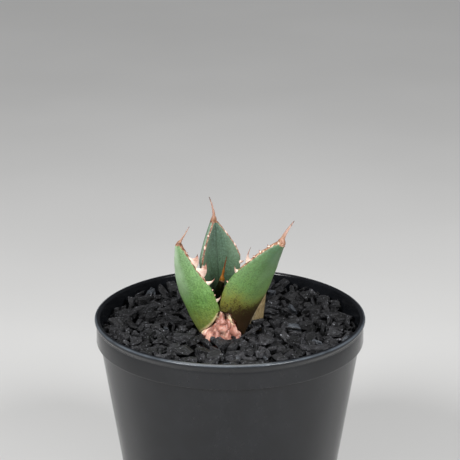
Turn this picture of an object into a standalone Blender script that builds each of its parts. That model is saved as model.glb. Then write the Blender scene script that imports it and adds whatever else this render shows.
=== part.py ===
"""A potted agave: a young, freshly rooted rosette in a round black nursery pot.

Units are metres, +Z is up, and the origin is the centre of the pot's foot on the ground. The pot holds a
plug of soil, a bed of crushed charcoal and loose charcoal chips. The plant stands a little left of the
pot's axis: a short fleshy stem, roots below it, four clasping leaves that end in spines, and one dry leaf.
"""

import math
import random
from typing import NamedTuple

import bmesh
import bpy
from mathutils import Matrix, Vector, noise

MM = 0.001
GAP = 0.3 * MM
UP = Vector((0, 0, 1))
SHARP_ANGLE = math.radians(40)

# Pot
POT_HEIGHT = 91 * MM
RIM_RADIUS = 52.5 * MM
BEAD_RADIUS = 1.1 * MM
BEAD_TURNS = (-35, 0, 35, 65, 90, 115, 145, 180)
COLLAR_DEPTH = 9 * MM
COLLAR_STEP = 1.3 * MM
COLLAR_INSET = 0.6 * MM
WALL = 1.4 * MM
FOOT_RADIUS = 38 * MM
FOOT_HEIGHT = 3 * MM
FOOT_WIDTH = 4 * MM
FLOOR_THICKNESS = 1.6 * MM
CENTRE_DRAIN_RADIUS = 5 * MM
OUTER_DRAIN_RADIUS = 4 * MM
OUTER_DRAIN_CIRCLE = 22 * MM
OUTER_DRAINS = 6
OUTER_DRAIN_START = 0.37
DRAIN_SIDES = 12
DRAIN_CUTTER = (2 * MM, 6 * MM)
POT_STEPS = 48

# Filling
SOIL_TOP = 76 * MM
CHARCOAL_TOP = 84.4 * MM
CHARCOAL_BACK_RISE = 2.6 * MM
CHARCOAL_RISE_SPAN = (5 * MM, 48 * MM)
CHARCOAL_BUMP = 1.1 * MM
CHARCOAL_BUMP_WIDTH = 6 * MM
COLLAR_HOLE_RADIUS = 14.5 * MM
BED_RINGS = 6
CHIP_SEED = 11
CHIP_SIZES = ((5.6, 4.2, 3.0), (7.4, 3.6, 2.6), (4.6, 4.4, 3.2), (8.6, 3.4, 2.4))
CHIP_RINGS = ((20.5, 7, 10), (31.0, 11, 0), (41.5, 14, 16))
CORNER_SHARE = (0.6, 1.0)
FACE_OFFSET = 0.4
FACE_SHARE = (0.9, 1.1)

# Stem
PLANT_AXIS = Vector((-3.0 * MM, -3.4 * MM, 0))
STEM_RINGS = (
    # radius, centre x, centre y, height
    (4.4, -3.0, -3.4, 62.0),
    (6.6, -3.0, -3.4, 64.5),
    (7.4, -3.0, -3.6, 71.0),
    (8.2, -3.1, -4.6, 78.0),
    (8.2, -3.2, -5.8, 83.0),
    (7.2, -3.2, -6.3, 86.5),
    (5.9, -2.8, -6.9, 88.6),
    (4.5, -2.2, -7.6, 91.0),
    (3.2, -2.0, -8.1, 93.1),
    (2.2, -1.8, -8.6, 95.2),
)
STEM_SIDES = 28
STEM_FOLD = 0.28 * MM
STEM_FOLDS = ((5, 0.35, 1.0), (9, -0.5, 0.6))
FULL_FOLD_RADIUS = 5
FRONT_CLEARANCE = 1.5

# Roots
ROOT_COUNT = 5
ROOT_STEPS = 8
ROOT_SIDES = 6
ROOT_FIRST_TURN = 0.4
ROOT_START = (3.1 * MM, 1.3 * MM)
ROOT_REACH = 19 * MM
ROOT_REACH_STEP = 4 * MM
ROOT_DEPTH = 38 * MM
ROOT_DEPTH_STEP = 6 * MM
ROOT_WANDER = 0.45
ROOT_WANDER_RATE = 2.4
ROOT_RADIUS = 1.1 * MM
ROOT_TAPER = 0.09 * MM
ROOT_SPREAD_RATE = 0.9
ROOT_DROP_RATE = 1.4
TUNNEL_HEAD = 3 * MM
TUNNEL_TAIL = 1 * MM
TUBE_SIDE = Vector((0.3, 0.9, 0.1))

# Leaves
MARGIN_THICKNESS = 0.8 * MM
UPPER_SHARE = 0.15
THINNING = 0.62
THINNING_RATE = 1.5
UNCURLING = 0.3
BODY_FULLNESS = 0.6
ROLL_SPAN = (0.1, 0.4)
SPINE_THICKNESS = 0.38
SPINE_DEPTH = 1.6
SPINE_TAPER = 0.8
SPINE_CURL = 0.7
SPINE_FLARE = 0.60
SPINE_FLARE_LENGTH = 0.30
SPINE_END = 0.05 * MM
ACROSS = (-1.0, -0.88, -0.5, 0.0, 0.5, 0.88, 1.0)
ALONG_BLADE = 17
ALONG_SPINE = 9
WALK_STEP = 0.04
RUN_STEP = 0.01
TOOTH_ROOM = 0.015


class Tooth(NamedTuple):
    """A tooth on a leaf's margin.

    side is -1 or 1, place runs from 0 to 1 up the blade, and the rest is in millimetres.
    """

    side: int
    place: float
    foot: float
    reach: float
    lean: float


class Leaf(NamedTuple):
    """One leaf, in millimetres.

    The midrib runs from base through belly to apex, and the spine from apex, drawn towards bend, to tip.
    The upper face looks along face. roll is how far the margin on side -1 rolls in, in radians.
    """

    name: str
    base: tuple
    belly: tuple
    apex: tuple
    bend: tuple
    tip: tuple
    face: tuple
    half_base: float
    half_width: float
    widest: float
    taper: float
    half_apex: float
    thickness: float
    curl: float
    teeth: tuple
    roll: float = 0.0


LEAVES = (
    Leaf(
        name="leaf_left",
        base=(-4.7, -2.6, 82.0),
        belly=(-14.3, -7.2, 103.0),
        apex=(-19.0, -10.6, 123.6),
        bend=(-17.6, -10.6, 125.8),
        tip=(-15.3, -10.0, 129.9),
        face=(0.68, 0.70, 0.24),
        half_base=7.4,
        half_width=9.0,
        widest=0.50,
        taper=1.15,
        half_apex=0.8,
        thickness=4.6,
        curl=0.75,
        teeth=(
            Tooth(-1, 0.38, 2.0, 2.4, 1.8),
            Tooth(-1, 0.575, 2.4, 3.5, 2.0),
            Tooth(-1, 0.69, 4.4, 3.6, 4.6),
            Tooth(-1, 0.80, 5.0, 2.6, 3.8),
            Tooth(1, 0.86, 2.6, 2.4, 1.0),
        ),
    ),
    Leaf(
        name="leaf_right",
        base=(-0.6, -2.6, 82.0),
        belly=(7.6, -8.2, 104.5),
        apex=(19.0, -13.0, 124.6),
        bend=(20.2, -13.2, 128.4),
        tip=(24.0, -14.0, 133.4),
        face=(-0.50, 0.80, 0.40),
        half_base=6.0,
        half_width=10.4,
        widest=0.50,
        taper=1.5,
        half_apex=1.3,
        thickness=5.0,
        curl=0.60,
        teeth=(
            Tooth(1, 0.63, 2.6, 1.8, 2.2),
            Tooth(1, 0.745, 3.4, 2.2, 6.2),
            Tooth(1, 0.855, 1.8, 1.0, 0.8),
            Tooth(1, 0.925, 1.8, 0.9, 0.8),
            Tooth(-1, 0.90, 2.2, 2.6, 1.8),
        ),
    ),
    Leaf(
        name="leaf_back",
        base=(-3.8, 3.2, 82.0),
        belly=(-4.9, 7.4, 104.4),
        apex=(-6.0, 9.0, 125.8),
        bend=(-6.0, 9.2, 130.6),
        tip=(-8.1, 9.0, 135.7),
        face=(0.50, -0.86, 0.10),
        half_base=6.0,
        half_width=9.5,
        widest=0.66,
        taper=1.25,
        half_apex=0.9,
        thickness=4.4,
        curl=0.95,
        teeth=(
            Tooth(-1, 0.62, 1.6, 2.0, -1.2),
            Tooth(-1, 0.78, 2.0, 0.7, -0.6),
            Tooth(-1, 0.88, 1.4, 0.6, -0.4),
            Tooth(1, 0.60, 2.4, 1.6, 0.6),
            Tooth(1, 0.76, 2.4, 0.7, -0.7),
            Tooth(1, 0.88, 2.0, 0.6, -0.7),
        ),
        roll=0.15,
    ),
    Leaf(
        name="leaf_young",
        base=(-4.8, 0.6, 88.0),
        belly=(-4.6, 0.2, 96.5),
        apex=(-3.0, 0.8, 104.2),
        bend=(-2.6, 0.9, 108.0),
        tip=(-1.2, 1.0, 114.2),
        face=(0.55, 0.80, 0.10),
        half_base=2.2,
        half_width=2.4,
        widest=0.40,
        taper=1.3,
        half_apex=0.9,
        thickness=2.2,
        curl=1.00,
        teeth=(
            Tooth(-1, 0.88, 1.4, 1.6, 0.8),
            Tooth(-1, 0.70, 1.4, 1.2, 0.6),
            Tooth(1, 0.92, 1.2, 1.2, 1.0),
        ),
    ),
    Leaf(
        name="leaf_dry",
        base=(9.0, 5.0, 79.0),
        belly=(11.4, 6.2, 89.6),
        apex=(13.8, 7.4, 98.9),
        bend=(14.0, 7.5, 99.6),
        tip=(14.2, 7.6, 100.2),
        face=(-0.35, 0.90, 0.20),
        half_base=2.9,
        half_width=2.8,
        widest=0.20,
        taper=1.3,
        half_apex=0.5,
        thickness=0.9,
        curl=0.35,
        teeth=(),
    ),
)


def clear_scene():
    for obj in list(bpy.data.objects):
        bpy.data.objects.remove(obj)


def material(name, colour, roughness, metallic=0.0):
    found = bpy.data.materials.get(name)
    if found:
        return found
    made = bpy.data.materials.new(name)
    made.use_nodes = True
    shader = made.node_tree.nodes["Principled BSDF"]
    shader.inputs["Base Color"].default_value = (*colour, 1)
    shader.inputs["Roughness"].default_value = roughness
    shader.inputs["Metallic"].default_value = metallic
    return made


def black_plastic():
    return material("black_plastic", (0.012, 0.013, 0.015), 0.35)


def potting_soil():
    return material("potting_soil", (0.055, 0.035, 0.022), 0.95)


def charcoal():
    return material("charcoal", (0.022, 0.022, 0.025), 0.8)


def stem_flesh():
    return material("stem_flesh", (0.72, 0.30, 0.22), 0.55)


def root_skin():
    return material("root_skin", (0.62, 0.45, 0.28), 0.7)


def green_leaf():
    return material("green_leaf", (0.13, 0.29, 0.09), 0.5)


def dry_leaf():
    return material("dry_leaf", (0.42, 0.33, 0.18), 0.8)


def finish_mesh(name, bm, made_of, smooth=True):
    """Turns bm into an object with its faces pointing out."""
    bmesh.ops.recalc_face_normals(bm, faces=bm.faces)
    if bm.calc_volume(signed=True) < 0:
        bmesh.ops.reverse_faces(bm, faces=bm.faces)
    mesh = bpy.data.meshes.new(name)
    bm.to_mesh(mesh)
    bm.free()
    if smooth:
        mesh.shade_smooth()
        mesh.set_sharp_from_angle(angle=SHARP_ANGLE)
    obj = bpy.data.objects.new(name, mesh)
    if made_of:
        mesh.materials.append(made_of)
    bpy.context.scene.collection.objects.link(obj)
    return obj


def hide_helper(obj):
    obj.hide_render = True
    obj.display_type = "WIRE"
    return obj


def cut(obj, cutter):
    """Takes cutter's volume out of obj with a Boolean."""
    boolean = obj.modifiers.new("cut_" + cutter.name, "BOOLEAN")
    boolean.operation = "DIFFERENCE"
    boolean.object = cutter


def on_circle(radius, angle, height=0.0):
    return Vector((radius * math.cos(angle), radius * math.sin(angle), height))


def turned(name, profile, steps, made_of, centre=Vector()):
    """A turned solid with a flat cap at each end. profile is (radius, height) points."""
    bm = bmesh.new()
    rings = []
    for radius, height in profile:
        turns = (2 * math.pi * k / steps for k in range(steps))
        rings.append([bm.verts.new(centre + on_circle(radius, a, height)) for a in turns])
    loft(bm, rings)
    return finish_mesh(name, bm, made_of)


def bridge(bm, lower, upper):
    """Quads between two rings of the same count."""
    count = len(lower)
    for k in range(count):
        after = (k + 1) % count
        bm.faces.new((lower[k], lower[after], upper[after], upper[k]))


def inner_radius(height):
    """Radius of the pot's tapered inner wall at a height, below its collar."""
    top = RIM_RADIUS - 2 * BEAD_RADIUS - COLLAR_STEP
    foot = FOOT_RADIUS - WALL
    share = height / (POT_HEIGHT - COLLAR_DEPTH)
    return foot + (top - foot) * min(share, 1)


def pot_profile():
    """The pot's wall as a closed loop of (radius, height): up from the foot's outer edge and down inside."""
    collar_low = POT_HEIGHT - COLLAR_DEPTH
    bead_centre = RIM_RADIUS - BEAD_RADIUS
    bead_height = POT_HEIGHT - BEAD_RADIUS
    floor_top = FOOT_HEIGHT + FLOOR_THICKNESS
    outside = [
        (FOOT_RADIUS, 0),
        (inner_radius(collar_low) + WALL, collar_low - COLLAR_STEP),
        (RIM_RADIUS - COLLAR_INSET, collar_low),
    ]
    bead = [
        (bead_centre + BEAD_RADIUS * math.cos(a), bead_height + BEAD_RADIUS * math.sin(a))
        for a in (math.radians(d) for d in BEAD_TURNS)
    ]
    inside = [
        (RIM_RADIUS - 2 * BEAD_RADIUS, collar_low + COLLAR_STEP),
        (inner_radius(collar_low), collar_low),
        (inner_radius(floor_top), floor_top),
        (CENTRE_DRAIN_RADIUS, floor_top),
        (CENTRE_DRAIN_RADIUS, FOOT_HEIGHT),
        (FOOT_RADIUS - FOOT_WIDTH, FOOT_HEIGHT),
        (FOOT_RADIUS - FOOT_WIDTH, 0),
    ]
    return outside + bead + inside


def make_pot():
    bm = bmesh.new()
    rings = []
    for k in range(POT_STEPS):
        a = 2 * math.pi * k / POT_STEPS
        rings.append([bm.verts.new(on_circle(r, a, z)) for r, z in pot_profile()])
    for k in range(POT_STEPS):
        bridge(bm, rings[k], rings[(k + 1) % POT_STEPS])
    pot = finish_mesh("pot", bm, black_plastic())
    for k in range(OUTER_DRAINS):
        a = 2 * math.pi * (k + OUTER_DRAIN_START) / OUTER_DRAINS
        place = on_circle(OUTER_DRAIN_CIRCLE, a)
        ends = [(OUTER_DRAIN_RADIUS, z) for z in DRAIN_CUTTER]
        cut(pot, hide_helper(turned(f"drain_cutter_{k + 1}", ends, DRAIN_SIDES, None, place)))


def tube_rings(bm, points, radii, sides):
    """Rings of a tube along points, each square to the run there."""
    rings = []
    for k, (point, radius) in enumerate(zip(points, radii)):
        run = (points[min(k + 1, len(points) - 1)] - points[max(k - 1, 0)]).normalized()
        across = run.cross(TUBE_SIDE).normalized()
        over = run.cross(across)
        turns = (2 * math.pi * j / sides for j in range(sides))
        spokes = (across * math.cos(a) + over * math.sin(a) for a in turns)
        rings.append([bm.verts.new(point + radius * spoke) for spoke in spokes])
    return rings


def loft(bm, rings):
    """Skins a run of rings and closes its ends."""
    for lower, upper in zip(rings, rings[1:]):
        bridge(bm, lower, upper)
    bm.faces.new(rings[0])
    bm.faces.new(rings[-1])


def tube(name, points, radii, sides, made_of):
    bm = bmesh.new()
    loft(bm, tube_rings(bm, points, radii, sides))
    return finish_mesh(name, bm, made_of)


def root_course(index):
    """Points down one root, from just under the stem and wandering outwards through the soil."""
    start_out, start_drop = ROOT_START
    first_turn = 2 * math.pi * index / ROOT_COUNT + ROOT_FIRST_TURN
    reach = ROOT_REACH + ROOT_REACH_STEP * (index % 3)
    depth = ROOT_DEPTH + ROOT_DEPTH_STEP * (index % 2)
    start_height = STEM_RINGS[0][3] * MM - 2 * GAP - start_drop
    points = []
    for k in range(ROOT_STEPS + 1):
        t = k / ROOT_STEPS
        turn = first_turn + ROOT_WANDER * math.sin(ROOT_WANDER_RATE * t)
        out = start_out + reach * t**ROOT_SPREAD_RATE
        points.append(PLANT_AXIS + on_circle(out, turn, start_height - depth * t**ROOT_DROP_RATE))
    return points


def make_roots(soil):
    """Cuts a tunnel for each root too, which reaches past both of the root's ends."""
    for index in range(ROOT_COUNT):
        points = root_course(index)
        radii = [ROOT_RADIUS - ROOT_TAPER * k for k in range(len(points))]
        tube(f"root_{index + 1}", points, radii, ROOT_SIDES, root_skin())
        beyond = points[-1] + (points[-1] - points[-2]).normalized() * TUNNEL_TAIL
        longer = [points[0] + UP * TUNNEL_HEAD, *points[:-1], beyond]
        wider = [radius + GAP for radius in (radii[0], *radii[:-1], radii[-1])]
        cut(soil, hide_helper(tube(f"root_tunnel_{index + 1}", longer, wider, ROOT_SIDES, None)))


def stem_ring(radius, x, y, height, grown, front):
    """Points round the stem at a height, all in millimetres but grown. front stretches the front half."""
    ring = []
    for k in range(STEM_SIDES):
        a = 2 * math.pi * k / STEM_SIDES
        fold = sum(depth * math.sin(count * a + twist * height) for count, twist, depth in STEM_FOLDS)
        out = radius * MM + grown + STEM_FOLD * fold * min(1, radius / FULL_FOLD_RADIUS)
        stretch = front if math.sin(a) < 0 else 1
        ring.append(Vector((x * MM + out * math.cos(a), y * MM + stretch * out * math.sin(a), height * MM)))
    return ring


def stem_body(name, grown, front, made_of):
    """The stem: a column up to the charcoal, then a lumpy callus cone that leans forward.

    grown swells it all round, and front stretches its front half.
    """
    bm = bmesh.new()
    rings = [[bm.verts.new(p) for p in stem_ring(*ring, grown, front)] for ring in STEM_RINGS]
    for vertex in rings[0]:
        vertex.co.z -= grown
    for vertex in rings[-1]:
        vertex.co.z += grown
    loft(bm, rings)
    return finish_mesh(name, bm, made_of)


def make_soil(stem_clearance):
    bottom = FOOT_HEIGHT + FLOOR_THICKNESS + GAP
    profile = [(inner_radius(z) - GAP, z) for z in (bottom, SOIL_TOP)]
    soil = turned("soil", profile, POT_STEPS, potting_soil())
    cut(soil, stem_clearance)
    return soil


def charcoal_height(x, y):
    """The bed's bumpy top, a little higher at the back wall."""
    low, high = CHARCOAL_RISE_SPAN
    rise = CHARCOAL_BACK_RISE * ease((y - low) / (high - low))
    bump = noise.noise(Vector((x, y, 0)) / CHARCOAL_BUMP_WIDTH)
    return CHARCOAL_TOP + rise + CHARCOAL_BUMP * bump


def make_charcoal_bed():
    """A ring of packed charcoal between the pot's wall and the plant."""
    bottom = SOIL_TOP + GAP
    bm = bmesh.new()
    loops = []
    for k in range(BED_RINGS + 1):
        loop = []
        for j in range(POT_STEPS):
            a = 2 * math.pi * j / POT_STEPS
            outer = on_circle(inner_radius(bottom) - GAP, a)
            inner = PLANT_AXIS + on_circle(COLLAR_HOLE_RADIUS, a)
            flat = inner.lerp(outer, k / BED_RINGS)
            loop.append(bm.verts.new((flat.x, flat.y, charcoal_height(flat.x, flat.y))))
        loops.append(loop)
    low_outer = [bm.verts.new((v.co.x, v.co.y, bottom)) for v in loops[-1]]
    low_inner = [bm.verts.new((v.co.x, v.co.y, bottom)) for v in loops[0]]
    loops += [low_outer, low_inner, loops[0]]
    for before, after in zip(loops, loops[1:]):
        bridge(bm, before, after)
    return finish_mesh("charcoal_bed", bm, charcoal(), smooth=False)


def broken_lump(size, dice):
    """The hull of a box's eight corners, each drawn in by chance, and of a point near each face's middle."""
    half = Vector(size) * 0.5 * MM
    bm = bmesh.new()
    for corner in range(8):
        sign = Vector((corner & 1, corner >> 1 & 1, corner >> 2 & 1)) * 2 - Vector((1, 1, 1))
        scale = Vector([dice.uniform(*CORNER_SHARE) for _ in range(3)])
        bm.verts.new(half * sign * scale)
    for axis in range(3):
        for sign in (-1, 1):
            point = Vector([dice.uniform(-FACE_OFFSET, FACE_OFFSET) for _ in range(3)])
            point[axis] = sign * dice.uniform(*FACE_SHARE)
            bm.verts.new(half * point)
    hull = bmesh.ops.convex_hull(bm, input=bm.verts)
    bmesh.ops.delete(bm, geom=hull["geom_interior"], context="VERTS")
    return bm


def make_chip(name, place, size, turn, dice):
    """A broken lump of charcoal, resting just clear of the bed."""
    bm = broken_lump(size, dice)
    bm.transform(Matrix.Translation(place) @ Matrix.Rotation(turn, 4, "Z"))
    lift = max(charcoal_height(v.co.x, v.co.y) - v.co.z for v in bm.verts) + 2 * GAP
    bm.transform(Matrix.Translation(UP * lift))
    finish_mesh(name, bm, charcoal(), smooth=False)


def make_chips():
    dice = random.Random(CHIP_SEED)
    number = 0
    for radius, count, start in CHIP_RINGS:
        off_axis = PLANT_AXIS * (1 - radius * MM / RIM_RADIUS)
        for k in range(count):
            place = off_axis + on_circle(radius * MM, math.radians(start) + 2 * math.pi * k / count)
            number += 1
            size = CHIP_SIZES[number % len(CHIP_SIZES)]
            make_chip(f"charcoal_chip_{number:02d}", place, size, dice.uniform(0, math.pi), dice)


def curve_through(base, belly, apex, t):
    """A quadratic curve that starts at base, passes belly halfway and ends at apex."""
    pull = 2 * belly - (base + apex) / 2
    return (1 - t) ** 2 * base + 2 * t * (1 - t) * pull + t * t * apex


def ease(x):
    x = min(max(x, 0.0), 1.0)
    return x * x * (3 - 2 * x)


def blade_half_width(leaf, t):
    if t < leaf.widest:
        return leaf.half_base + (leaf.half_width - leaf.half_base) * ease(t / leaf.widest)
    fall = (t - leaf.widest) / (1 - leaf.widest)
    return leaf.half_apex + (leaf.half_width - leaf.half_apex) * (1 - fall**leaf.taper)


def blade_length(leaf):
    base, belly, apex = (Vector(p) for p in (leaf.base, leaf.belly, leaf.apex))
    return (belly - base).length + (apex - belly).length


def stations(leaf):
    """Places along the blade where it gets a cross-section: even steps, and each tooth's foot and point."""
    length = blade_length(leaf)
    places = [k / ALONG_BLADE for k in range(ALONG_BLADE + 1)]
    for tooth in leaf.teeth:
        half = tooth.foot / 2 / length
        near = [t for t in places if abs(t - tooth.place) < half + TOOTH_ROOM and 0 < t < 1]
        places = [t for t in places if t not in near]
        places += [tooth.place - half, tooth.place, tooth.place + half]
    return sorted(places)


def tooth_at(leaf, t, side):
    """The tooth whose point is at t on this side, if there is one."""
    return next((tooth for tooth in leaf.teeth if tooth.side == side and tooth.place == t), None)


def walk_across(half, curl, roll, s):
    """How far across and over the skin has gone at share s of the half width, and how far it has turned."""
    flat = rise = 0.0
    steps = max(1, round(abs(s) / WALK_STEP))
    step = s / steps
    for k in range(steps):
        middle = step * (k + 0.5)
        turn = turn_at(curl, roll, middle)
        flat += half * step * math.cos(turn)
        rise += half * step * math.sin(turn)
    return flat, rise, turn_at(curl, roll, s)


def turn_at(curl, roll, s):
    return curl * s - (roll * s**4 if s < 0 else 0)


class Section(NamedTuple):
    """A leaf's cross-section: where it is, which way the leaf runs, its sizes, and where along the blade."""

    centre: Vector
    run: Vector
    half: float
    thick: float
    curl: float
    roll: float
    place: float


def section_ring(bm, leaf, cut_here, grown):
    """One closed cross-section: the upper face across, then the under face back, swollen by grown."""
    run, thick = cut_here.run, cut_here.thick
    across = run.cross(Vector(leaf.face)).normalized()
    over = across.cross(run).normalized()
    half_margin = min(MARGIN_THICKNESS, thick) / 2 + grown
    upper, under = [], []
    for s in ACROSS:
        flat, rise, turn = walk_across(cut_here.half, cut_here.curl, cut_here.roll, s)
        side = (across * math.cos(turn) + over * math.sin(turn)) * s
        skin = over * math.cos(turn) - across * math.sin(turn)
        body = thick * (1 - s * s) ** BODY_FULLNESS
        point = cut_here.centre + across * flat + over * rise
        if abs(s) == 1:
            point += side * grown
            tooth = tooth_at(leaf, cut_here.place, s)
            if tooth:
                point += (side * tooth.reach + run * tooth.lean) * MM
        upper.append(bm.verts.new(point + skin * (half_margin + UPPER_SHARE * body)))
        under.append(bm.verts.new(point - skin * (half_margin + (1 - UPPER_SHARE) * body)))
    return upper + under[::-1]


def blade_section(leaf, t, grown):
    base, belly, apex = (Vector(p) * MM for p in (leaf.base, leaf.belly, leaf.apex))
    before, after = (curve_through(base, belly, apex, t + step) for step in (-RUN_STEP, RUN_STEP))
    run = (after - before).normalized()
    low, high = ROLL_SPAN
    return Section(
        centre=curve_through(base, belly, apex, t) - run * (grown if t == 0 else 0),
        run=run,
        half=blade_half_width(leaf, t) * MM,
        thick=leaf.thickness * MM * (1 - THINNING * t**THINNING_RATE),
        curl=leaf.curl * (1 - UNCURLING * t),
        roll=leaf.roll * ease((t - low) / (high - low)),
        place=t,
    )


def spine_section(leaf, t):
    apex, bend, tip = (Vector(p) * MM for p in (leaf.apex, leaf.bend, leaf.tip))
    flare = SPINE_FLARE * (1 - ease(t / SPINE_FLARE_LENGTH))
    half = leaf.half_apex * MM * ((1 - SPINE_FLARE) * (1 - t) ** SPINE_TAPER + flare) + SPINE_END
    return Section(
        centre=(1 - t) ** 2 * apex + 2 * t * (1 - t) * bend + t * t * tip,
        run=((1 - t) * (bend - apex) + t * (tip - bend)).normalized(),
        half=half,
        thick=min(leaf.thickness * SPINE_THICKNESS * MM, SPINE_DEPTH * half),
        curl=leaf.curl * SPINE_CURL * (1 - t),
        roll=leaf.roll * (1 - t),
        place=1 + t,
    )


def make_leaf(leaf, made_of, name=None, grown=0.0):
    bm = bmesh.new()
    sections = [blade_section(leaf, t, grown) for t in stations(leaf)]
    sections += [spine_section(leaf, k / ALONG_SPINE) for k in range(1, ALONG_SPINE + 1)]
    loft(bm, [section_ring(bm, leaf, each, grown) for each in sections])
    return finish_mesh(name or leaf.name, bm, made_of)


def find_leaf(name):
    return next(leaf for leaf in LEAVES if leaf.name == name)


def leaf_clearance(name):
    """A hidden copy of a leaf, grown by the gap that neighbours leave round it."""
    known = bpy.data.objects.get(name + "_clearance")
    return known or hide_helper(make_leaf(find_leaf(name), None, name + "_clearance", GAP))


def make_leaves(stem_clearance):
    made = {}
    for leaf in LEAVES:
        made_of = dry_leaf() if leaf.name == "leaf_dry" else green_leaf()
        made[leaf.name] = make_leaf(leaf, made_of)
        cut(made[leaf.name], stem_clearance)
    cut(made["leaf_right"], leaf_clearance("leaf_left"))
    for name in ("leaf_left", "leaf_young"):
        cut(made["leaf_back"], leaf_clearance(name))


def main():
    clear_scene()
    make_pot()
    stem_body("stem", 0, 1, stem_flesh())
    soil = make_soil(hide_helper(stem_body("stem_clearance", 2 * GAP, 1, None)))
    make_roots(soil)
    bed = make_charcoal_bed()
    cut(bed, leaf_clearance("leaf_dry"))
    make_chips()
    make_leaves(hide_helper(stem_body("torn_front", 2 * GAP, FRONT_CLEARANCE, None)))


main()
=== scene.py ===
"""A potted agave, finished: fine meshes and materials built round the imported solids.

Units are metres, +Z is up, and the origin is the centre of the pot's foot. The file is laid out as an add-on:
settings, one operator for each piece or group of like pieces, one for the stage, and a panel in the sidebar.
"""

import math
import random
from typing import NamedTuple

import bmesh
import bpy
import numpy as np
from bpy.props import FloatProperty, FloatVectorProperty, IntProperty, PointerProperty
from mathutils import Matrix, Vector, noise


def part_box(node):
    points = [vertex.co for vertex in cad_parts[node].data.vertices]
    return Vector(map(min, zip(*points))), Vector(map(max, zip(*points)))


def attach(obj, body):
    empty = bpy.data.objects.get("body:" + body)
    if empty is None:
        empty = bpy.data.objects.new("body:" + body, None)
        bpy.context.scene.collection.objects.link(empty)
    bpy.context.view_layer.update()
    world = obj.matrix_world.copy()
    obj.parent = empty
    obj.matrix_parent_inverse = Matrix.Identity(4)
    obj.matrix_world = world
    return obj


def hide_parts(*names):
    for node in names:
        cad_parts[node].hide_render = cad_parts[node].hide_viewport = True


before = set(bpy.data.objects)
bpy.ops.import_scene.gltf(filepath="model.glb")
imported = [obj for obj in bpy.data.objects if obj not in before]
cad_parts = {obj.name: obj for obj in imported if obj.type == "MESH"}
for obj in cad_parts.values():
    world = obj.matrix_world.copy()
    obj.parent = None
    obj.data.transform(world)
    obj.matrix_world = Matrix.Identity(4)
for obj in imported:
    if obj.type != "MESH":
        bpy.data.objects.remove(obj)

bl_info = {
    "name": "Potted Agave",
    "version": (1, 0, 0),
    "blender": (4, 5, 0),
    "location": "3D View > Sidebar > Agave",
    "description": "Builds a young agave in a round pot topped with charcoal",
    "category": "Object",
}

MM = 0.001
UP = Vector((0, 0, 1))
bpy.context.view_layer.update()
POT_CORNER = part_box("pot")[1]
CHIP_NODES = sorted(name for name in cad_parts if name.startswith("charcoal_chip"))
ROOT_NODES = sorted(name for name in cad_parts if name.startswith("root_"))


# Settings


def length_setting(name, description, length):
    return FloatProperty(name=name, description=description, default=length, unit="LENGTH")


def colour_setting(name, description, *colour):
    return FloatVectorProperty(
        name=name, description=description, default=colour, subtype="COLOR", min=0, max=1
    )


class PotSettings(bpy.types.PropertyGroup):
    """Sizes and colour of the pot."""

    rim_radius: length_setting("Rim radius", "Outer radius of the rolled rim", POT_CORNER.x)
    height: length_setting("Height", "From the surface it stands on to the top of the rim", POT_CORNER.z)
    wall: length_setting("Wall", "Thickness of the wall", 1.4 * MM)
    colour: colour_setting("Plastic colour", "Colour of the moulded plastic", 0.006, 0.0066, 0.008)


class CharcoalSettings(bpy.types.PropertyGroup):
    """Number, sizes and colours of the charcoal chips."""

    pieces: IntProperty(name="Pieces", description="How many chips are tried on the pile", default=2000)
    smallest: length_setting("Smallest chip", "Longest side of the smallest chips", 1.3 * MM)
    largest: length_setting("Largest chip", "Longest side of the largest chips", 9.0 * MM)
    seed: IntProperty(name="Seed", description="Starts the dropping of the chips", default=7)
    dark: colour_setting("Dark chips", "Colour of the darkest chips", 0.0016, 0.0016, 0.002)
    light: colour_setting("Light chips", "Colour of the lightest chips", 0.061, 0.061, 0.067)


class PlantSettings(bpy.types.PropertyGroup):
    """Colours of the plant."""

    blade_low: colour_setting("Blade base", "Left leaf near the stem", 0.25, 0.25, 0.038)
    blade_middle: colour_setting("Blade middle", "Left leaf halfway up", 0.128, 0.27, 0.052)
    blade_top: colour_setting("Blade top", "Left leaf near the spine", 0.12, 0.225, 0.090)
    bloom: colour_setting("Bloom", "Waxy bloom on the leaves", 0.42, 0.56, 0.38)
    rim_colour: colour_setting("Horny rim", "Corky rim of the leaves", 0.33, 0.14, 0.070)
    callus: colour_setting("Callus", "Healed skin of the stem", 0.58, 0.25, 0.19)


class StudioSettings(bpy.types.PropertyGroup):
    """Camera and lamps."""

    lens: FloatProperty(name="Lens", description="Focal length of the camera", default=140.8, unit="CAMERA")
    key_power: FloatProperty(name="Key", description="Power of the key light", default=8.2, unit="POWER")
    fill_power: FloatProperty(name="Fill", description="Power of the fill light", default=7.0, unit="POWER")
    overhead: FloatProperty(name="Overhead", description="Strength of the wide overhead light", default=1.1)


def smooth_step(low, high, x):
    share = np.clip((x - low) / (high - low), 0, 1)
    return share * share * (3 - 2 * share)


def clamped(x):
    return min(1.0, max(0.0, x))


def scaled(colour, factor):
    return tuple(c * factor for c in colour)


# Materials


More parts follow.
